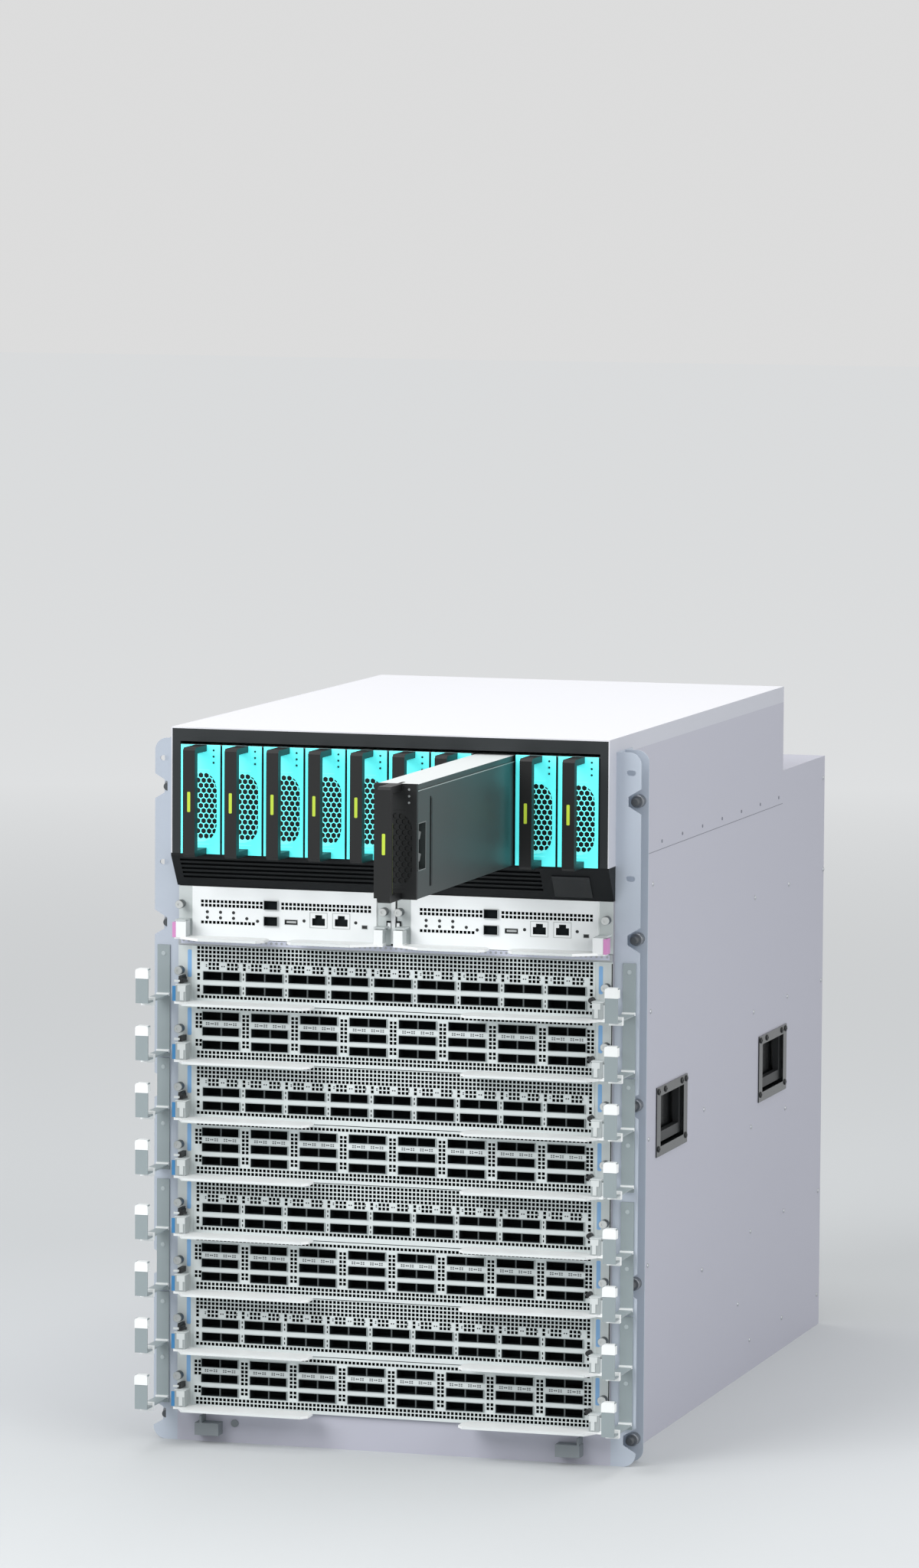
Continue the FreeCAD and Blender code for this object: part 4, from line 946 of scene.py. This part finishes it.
class CHASSIS_OT_rear_details(bpy.types.Operator):
    """Fan rotors, finger guards and tray screws, and the pins of the power inlets"""
    bl_idname = "chassis.rear_details"
    bl_label = "Rear details"

    def execute(self, context):
        blade = moulded("rotor_nylon", "#3c4043", 0.5)
        wire = plated("guard_wire", "#c4c7c9", 0.35)
        screw = plated("tray_screw_zinc", "#b9bcc0", 0.35)
        brass = plated("inlet_pin_brass", "#c2a878", 0.35)
        rotor, guard = fan_rotor(), fan_guard()
        knob = turned_profile([(4.2, -0.4), (4.2, 4), (3.4, 5), (1.5, 5), (1.5, 4)])
        for i, node in enumerate(FAN_TRAYS):
            low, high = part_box(node)
            middle, half = (low.x + high.x) / 2 / MM, (high.x - low.x) / 2 / MM
            back, centre = (high.y - EAR_PLANE) / MM - PULL_REACH, (low.z + high.z) / 2 / MM
            spots = [at(middle, back, centre + z) for z in FAN_PLACES]
            settle(f"fan_rotors_{i + 1}", stamped(spots, rotor, blade), node + "_body")
            corners = [at(middle + x, back, centre + z)
                       for x in (9 - half, half - 9) for z in (-255, 88, 255)]
            guards = join_meshes("guards", [stamped(spots, guard, wire),
                                            stamped(corners, knob, screw)])
            settle(f"fan_guards_{i + 1}", guards, node + "_body")
        pins = boxes("pins", [((x - 1, -15.5, z - 3), (x + 1, -4, z + 3))
                              for x, z in ((0, 5), (-6, -3), (6, -3))], place=local)
        low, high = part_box("power_inlets")
        spots = [at(low.x / MM + 15 + k * INLET_STEP, (high.y - EAR_PLANE) / MM,
                    (low.z + high.z) / 2 / MM) for k in range(10)]
        settle("inlet_pins", stamped(spots, pins, brass), "chassis")
        for mesh in (rotor, guard, knob):
            bpy.data.meshes.remove(mesh)
        return {"FINISHED"}


# fasteners and hooks

# Seen on the right side, as (distance behind the ears, height)
RIVETS = ((137.6, 542.2), (689.7, 486.2), (545.4, 486.8), (688.1, 369.1), (133.9, 419.1),
          (543.7, 369.8), (537.6, 252.5), (344.2, 296), (684.1, 252.6), (682, 145), (539.9, 144.6),
          (341.9, 135.5), (677.8, 33), (540.2, 32.3), (489.9, 77.4), (838, 369), (842, 486.5),
          (834.4, 144.1), (832.5, 33), (838, 584.2), (130.3, 295.6), (130.6, 172.3))
PAN_STARTS = (157.5, 566.0)
PAN_SCREWS = ((7, 337), (32, 337), (96, 337), (112, 337), (7, 281), (111, 281))
RACK_HEIGHTS = (633, 501.7, 343, 172, 22.4)
RACK_COLUMN = 232.55
FLANGE = 28.5            # front of the rack flange behind the ears
HOOK_COLUMN = 231.8
HOOK_TOPS = (465.0, 410.1, 355.2, 300.3, 237.6, 182.7, 127.8, 72.9)
GUIDE_MARKS = (473, 363, 308, 244.5, 190, 134.5, 80)
SEAM_SCREWS = [14 + k * 78.5 for k in range(9)]


def both_walls(x, places, profile, sides, finish):
    """Round heads turned from a profile, at (y, z) places on the right wall and on the left one."""
    return [stamped([at(side * x, y, z) for y, z in places],
                    turned_profile([(radius, side * out) for radius, out in profile], sides, "x"),
                    finish) for side in (1, -1)]


class CHASSIS_OT_fasteners(bpy.types.Operator):
    """Rivets, captive rack screws, the cover's seam and handle pan screws"""
    bl_idname = "chassis.fasteners"
    bl_label = "Fasteners"

    def execute(self, context):
        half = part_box("chassis_shell")[1].x / MM
        meshes = both_walls(half, RIVETS, [(2.4, -0.2), (2.4, 0.3), (1.9, 0.9), (0.9, 1.3)], 12,
                            plated("screw_zinc", "#b9bcc0", 0.35))
        spots = [at(x, FLANGE, z) for x in (-RACK_COLUMN, RACK_COLUMN) for z in RACK_HEIGHTS]
        meshes += [stamped(spots, turned_profile([(6.2, 0), (6.2, -9), (5.5, -10)], 20),
                           plated("captive_screw_steel", "#868a8f", 0.4)),
                   stamped(spots, turned_profile([(3.7, -10), (3.7, -18.6), (3.1, -19.2)]),
                           plain("screw_barrel_dark", "#4a4e52", 0.5))]
        settle("chassis_rivets", join_meshes("rivets", meshes), "chassis")
        low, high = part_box("top_cover")
        foot = low.z / MM
        bm = bmesh.new()
        for side in (-1, 1):
            inner, line, head = (side * (half + out) for out in (-0.2, 0.12, 0.5))
            x = sorted((inner, line))
            add_box(bm, (x[0], 0.5, foot - 0.3), (x[1], (high.y - EAR_PLANE) / MM - 1, foot + 0.3))
            for y in SEAM_SCREWS:
                add_prism(bm, ring(y, foot + 7.6, 1.7, 10), "x", *sorted((inner, head)))
        seam = as_mesh("seam", bm, plain("cover_seam_shade", "#7d808a", 0.7))
        settle("cover_seam", seam, "chassis")
        places = [(start + off, z) for start in PAN_STARTS for off, z in PAN_SCREWS]
        screws = both_walls(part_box("handle_pans")[1].x / MM, places,
                            [(3.2, -0.2), (3.2, 0.5), (2.6, 1.2), (1.2, 1.5), (1.2, 0.9)], 14,
                            plain("screw_black_oxide", "#1c1e20", 0.4))
        settle("pan_screws", join_meshes("screws", screws), "chassis")
        return {"FINISHED"}


class CHASSIS_OT_hook_trim(bpy.types.Operator):
    """White caps, clips and root bars on the cable hooks; the caps' white is a painted highlight"""
    bl_idname = "chassis.hook_trim"
    bl_label = "Hook trim"

    def execute(self, context):
        bm = bmesh.new()
        add_box(bm, (-6.45, 15.8, -36.8), (6.45, 21.2, -29.1), place=local)
        add_box(bm, (-6.3, 61.2, -33.0), (6.3, 64.5, -30.0), place=local)
        # Painted highlight: the white caps stand for light on the hooks' sloped tops.
        round_top = [p for p in rounded_box(-6.5, 6.5, -9.3, 0.35, 2.6)[4:] if p[1] > -8]
        add_prism(bm, [(6.5, -9.3), *round_top, (-6.5, -9.3)], "y", -0.5, 7.2, place=local)
        columns = (-HOOK_COLUMN, HOOK_COLUMN)
        caps = stamped([at(x, -66, z) for x in columns for z in HOOK_TOPS], as_mesh("trim", bm),
                       moulded("hook_cap_highlight_nylon", "#eff2f2", 0.4))
        marks = stamped([at(x, -1.5, z) for x in columns for z in GUIDE_MARKS],
                        turned_profile([(2.2, 0.1), (2.2, -0.3), (1.6, -0.5)], 12),
                        moulded("guide_mark_nylon", "#a9b3b6", 0.4))
        settle("hook_trim", join_meshes("trim", [caps, marks]), "chassis")
        return {"FINISHED"}


# supervisor cards and shelf

# Ports of a supervisor card: left and right end from the card's left end, then foot and top
SUPERVISOR_PORTS = ((86.8, 100.2, 519.6, 527.9), (86.8, 100.2, 504.1, 512.6),
                    (107.3, 119.8, 505.9, 510.3), (134.6, 147.4, 505.9, 516),
                    (157.3, 170.1, 505.9, 516), (184.6, 189.6, 504.6, 507.6))
CAGES, TONGUED, JACKS = (0, 1), 2, (3, 4)
SUPERVISOR_LAMPS = ((29.2, 515.1), (42.5, 515.1), (55.6, 515.1), (29.2, 509.7), (42.5, 509.7),
                    (55.6, 509.7), (69.0, 509.9), (79.8, 507.8), (126.5, 509.9), (178.2, 510))
LEVER_DROP = 0.4
SHELF_HOLES = 82         # count, pitch and row height of the holes, and the middle of their row
SHELF_PITCH = 5.2
SHELF_TALL = 6.4
SHELF_RISE = 3.3


def jack_mesh(ports, front, inner, side, finishes):
    """Rims, black linings and inner forms of the ports, and the card's half of the stop in the
    middle; the linings are partly painted shade.
    """
    rows = []
    for k, (x0, x1, z0, z1) in enumerate(ports):
        rim, proud = (0.5, 2.2) if k in CAGES else (0.45, 0.3)
        apart = 2.0 if k in JACKS else 0.0
        a0, a1, b0, b1 = x0 - apart, x1 + apart, z0 - apart, z1 + apart
        rows += [((a, front - proud, c), (b, PANEL, d), 0) for a, b, c, d in
                 ((a0 - rim, a1 + rim, b1, b1 + rim), (a0 - rim, a1 + rim, b0 - rim, b0),
                  (a0 - rim, a0, b0, b1), (a1, a1 + rim, b0, b1))]
        # Black linings, partly painted shade, inside each port.
        rows += [((a, PANEL - 0.45, c), (b, PANEL + 3, d), 1) for a, b, c, d in
                 ((x0, x1, z1 - 0.1, z1), (x0, x1, z0, z0 + 0.1),
                  (x0, x0 + 0.1, z0, z1), (x1 - 0.1, x1, z0, z1))]
        rows.append(((x0, PANEL + 2.6, z0), (x1, PANEL + 3, z1), 1))
        if k in JACKS:
            rows += [((a, front, z1 - 3.2), (a + 2.9, PANEL + 0.2, z1), 2) for a in (x0, x1 - 2.9)]
        elif k == TONGUED:
            rows.append(((x0 + 1.4, PANEL + 0.2, z0 + 1.2), (x1 - 1.4, PANEL + 1.2, z1 - 1.2), 0))
    for reach, proud, tall, finish in ((4.2, 0.1, 513.2, 1), (3.0, 0.5, 511.4, 2)):
        x = sorted((inner, inner + side * reach))
        rows.append(((x[0], front - proud, 505.2), (x[1], PANEL, tall), finish))
    return boxes("jacks", rows, *finishes)


class CHASSIS_OT_supervisor_faces(bpy.types.Operator):
    """Face sheets of the supervisor cards, with ports, lamps, screws and levers' fronts"""
    bl_idname = "chassis.supervisor_faces"
    bl_label = "Supervisor faces"

    def execute(self, context):
        sheet = context.scene.chassis_card_face.sheet / MM
        paint = powder_coat("supervisor_face_powder_coat", "#eff3f4", 0.45)
        jack_finishes = (plated("jack_shell_steel", "#b9bdbd", 0.35),
                         # The ports' black linings are partly painted shade.
                         plain("jack_interior_and_shade", "#1a1f21", 0.8, sheen=0.1), paint)
        lamp = plain("supervisor_lamp_lens", "#141719", 0.4)
        # Painted shade: a near-black sheet behind the holes of the vents.
        dark = plain("supervisor_vent_painted_shade", "#030404", 0.9, sheen=0.0)
        screw = plated("supervisor_screw_nickel", "#c9cccb", 0.3)
        # Painted shade: the screws' knurled flanks are darker than their faces.
        shaded_flank = plated("supervisor_screw_flank_painted_shade", "#6a6f71", 0.4)
        white = moulded("supervisor_lever_nylon", "#eceff0", 0.4)
        # The hubs' grey is painted shade.
        lever_finishes = (moulded("supervisor_hub_painted_shade", "#c3c8ca", 0.4), white,
                          plain("pink_label_film", "#d08abf", 0.4))
        cell = vent_cell(sheet)
        gap = []
        for node, side in zip(SUPERVISORS, (-1, 1)):
            low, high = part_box(node)
            left, right, foot, top = low.x / MM, high.x / MM, low.z / MM, high.z / MM
            body = node + "_body"
            gap.append(right if side < 0 else left)
            blocks = [vent_block(left + 24.2 + CELL * 7.5, top - 525.3, 16, 2),
                      vent_block(left + 105.0 + CELL * 11, top - 525.3, 23, 2),
                      vent_block(left + 24.3 + CELL * 6.5, top - 505.1, 14, 1)]
            ports = [(left + x0, left + x1, z0, z1) for x0, x1, z0, z1 in SUPERVISOR_PORTS]
            face, shade = vented_face((left + 14.2, right - 14.2), (foot, top), top, blocks, ports,
                                      [], (0.8, 1), cell, paint, dark, sheet)
            settle(f"{node}_face", face, body)
            settle(f"{node}_shade", shade, body)
            jacks = jack_mesh(ports, PANEL - sheet, gap[-1], side, jack_finishes)
            settle(f"{node}_jacks", jacks, body)
            dots = stamped([at(left + x, PANEL - sheet, z) for x, z in SUPERVISOR_LAMPS],
                           turned_profile([(1.6, 0.1), (1.6, -0.2), (1.2, -0.35)], 10), lamp)
            settle(f"{node}_lamps", dots, body)
            spots = [at(x, PANEL + 1, 522.5) for x in (left + 4.6, right - 4.6)]
            settle(f"{node}_screws", thumb_screws(spots, screw, shaded_flank), body)
        bpy.data.meshes.remove(cell)
        foot -= LEVER_DROP
        post = ((gap[0] + 0.2, PANEL + 0.2, foot + 2), (gap[1] - 1.7, PANEL + 4, top))
        settle("supervisor_post", boxes("post", [post], paint), "chassis")
        for i, lever in enumerate(SUPERVISOR_LEVERS):
            side = -1 if i < 2 else 1
            if i in (0, 3):
                front = lever_front(side, foot - 1.0, lever_finishes, smooth=True)
            else:
                low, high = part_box(lever)
                inner = min(abs(low.x), abs(high.x)) / MM
                x = sorted((side * (inner + 0.2), side * (inner + 9.2)))
                plate = ((x[0], -23.2, foot + 2.5), (x[1], -22.8, foot + 17.0))
                front = boxes("front", [plate], white)
            settle(f"supervisor_front_{i + 1}", front, lever + "_body")
        return {"FINISHED"}


class CHASSIS_OT_shelf_strip(bpy.types.Operator):
    """Row of round holes along the shelf above the line cards"""
    bl_idname = "chassis.shelf_strip"
    bl_label = "Shelf strip"

    def execute(self, context):
        hole = [(a, u + 1.0) for a, u in ring(0, 0, 1.3, 12, math.pi / 12)]
        cell = holed_cell(SHELF_PITCH, SHELF_TALL, hole, SHEET)
        shelf = card_top(LINE_CARDS[0]) + SHELF_RISE
        spots = [at((i - (SHELF_HOLES - 1) / 2) * SHELF_PITCH, PANEL, shelf)
                 for i in range(SHELF_HOLES)]
        paint = powder_coat("shelf_powder_coat", "#c3c7d6", 0.45)
        settle("shelf_strip_face", stamped(spots, cell, paint), "chassis")
        return {"FINISHED"}


# stage

# The photograph's view, solved from the chassis' own edges
CAMERA_PLACE = (1.9430, -6.8198, 1.2681)
CAMERA_TURN = (84.6689, -0.3659, 16.4095)
CAMERA_LENS = 162.17
FLOOR_HALF = 30.0
LIGHT_SIZE = 2.5
LIGHTS = (("key", (-1.8, -3.2, 2.6), 104.0), ("fill", (3.2, -2.0, 1.8), 54.0),
          ("top", (0.0, 0.3, 3.4), 48.0))
AIM = Vector((0, -0.1, 0.3))
WHITE = (1, 1, 1, 1)


class ChassisStage(bpy.types.PropertyGroup):
    floor: FloatVectorProperty(name="Floor", description="Colour of the floor and backdrop",
                               subtype="COLOR", size=4, default=linear("#c9ccce"))


def seen_ray(tree):
    """1 on rays from the camera or sent on by mirrors and clear plastics, 0 elsewhere."""
    ray = add_node(tree, "ShaderNodeLightPath").outputs
    seen = combine(tree, "MAXIMUM", ray["Is Camera Ray"], ray["Is Glossy Ray"])
    return combine(tree, "MAXIMUM", seen, ray["Is Transmission Ray"])


def backdrop_paper(colour):
    """Matt paper that brightens with its distance, but only as seen, so that it adds no light."""
    paper, tree, shader = new_finish("studio_paper", colour, 0.9, sheen=0.0)
    shader.inputs["Emission Color"].default_value = WHITE
    place = add_node(tree, "ShaderNodeNewGeometry")
    far_off = add_node(tree, "ShaderNodeVectorMath", {"operation": "LENGTH"},
                       [(0, place.outputs["Position"])])
    lift = add_node(tree, "ShaderNodeMapRange",
                    {"From Min": 1.0, "From Max": 6.5, "To Min": 0.0, "To Max": 0.38},
                    [("Value", far_off.outputs["Value"])])
    glow = combine(tree, "MULTIPLY", seen_ray(tree), lift.outputs["Result"])
    tree.links.new(glow, shader.inputs["Emission Strength"])
    return paper


class CHASSIS_OT_stage(bpy.types.Operator):
    """Floor, lights, world and camera"""
    bl_idname = "chassis.stage"
    bl_label = "Stage"

    def execute(self, context):
        scene = context.scene
        mesh = bpy.data.meshes.new("floor")
        mesh.from_pydata([(x * FLOOR_HALF, y * FLOOR_HALF, 0)
                          for x, y in ((-1, -1), (1, -1), (1, 1), (-1, 1))], [], [(0, 1, 2, 3)])
        mesh.materials.append(backdrop_paper(scene.chassis_stage.floor))
        floor = new_object("floor", mesh)
        for name, place, power in LIGHTS:
            light = bpy.data.lights.new(name, "AREA")
            light.energy, light.size = power, LIGHT_SIZE
            lamp = new_object(name, light)
            lamp.location = place
            lamp.rotation_euler = (AIM - lamp.location).to_track_quat("-Z", "Y").to_euler()
        world = bpy.data.worlds.new("studio")
        world.use_nodes = True
        background = world.node_tree.nodes["Background"]
        background.inputs["Color"].default_value = WHITE
        level = add_node(world.node_tree, "ShaderNodeMapRange", {"To Min": 0.55, "To Max": 0.72},
                         [("Value", seen_ray(world.node_tree))])
        world.node_tree.links.new(level.outputs["Result"], background.inputs["Strength"])
        scene.world = world
        camera = new_object("camera", bpy.data.cameras.new("camera"))
        camera.location = CAMERA_PLACE
        camera.rotation_euler = Euler([math.radians(a) for a in CAMERA_TURN], "XYZ")
        camera.data.lens, camera.data.sensor_width = CAMERA_LENS, 36.0
        camera.data.clip_start, camera.data.clip_end = 0.1, 100.0
        scene.camera = camera
        scene.view_settings.view_transform = "Standard"
        return {"FINISHED"}


class CHASSIS_PT_panel(bpy.types.Panel):
    """Lists the steps that dress the chassis"""
    bl_idname = "CHASSIS_PT_panel"
    bl_label = "Chassis switch"
    bl_space_type = "VIEW_3D"
    bl_region_type = "UI"
    bl_category = "Chassis"

    def draw(self, context):
        for operator in OPERATORS:
            self.layout.operator(operator.bl_idname)


SETTINGS = {"chassis_paint": ChassisPaint, "chassis_card_face": CardFace,
            "chassis_stage": ChassisStage}
OPERATORS = (CHASSIS_OT_paint, CHASSIS_OT_card_faces, CHASSIS_OT_card_ends,
             CHASSIS_OT_supervisor_faces, CHASSIS_OT_shelf_strip, CHASSIS_OT_supply_faces,
             CHASSIS_OT_hook_trim, CHASSIS_OT_rear_details, CHASSIS_OT_fasteners, CHASSIS_OT_stage)


def register():
    for kind in (*SETTINGS.values(), *OPERATORS, CHASSIS_PT_panel):
        bpy.utils.register_class(kind)
    for name, kind in SETTINGS.items():
        setattr(bpy.types.Scene, name, PointerProperty(type=kind))


def unregister():
    for name in SETTINGS:
        delattr(bpy.types.Scene, name)
    for kind in (CHASSIS_PT_panel, *reversed(OPERATORS), *SETTINGS.values()):
        bpy.utils.unregister_class(kind)


def main():
    register()
    for operator in OPERATORS:
        group, name = operator.bl_idname.split(".")
        getattr(getattr(bpy.ops, group), name)()


if __name__ == "__main__":
    main()
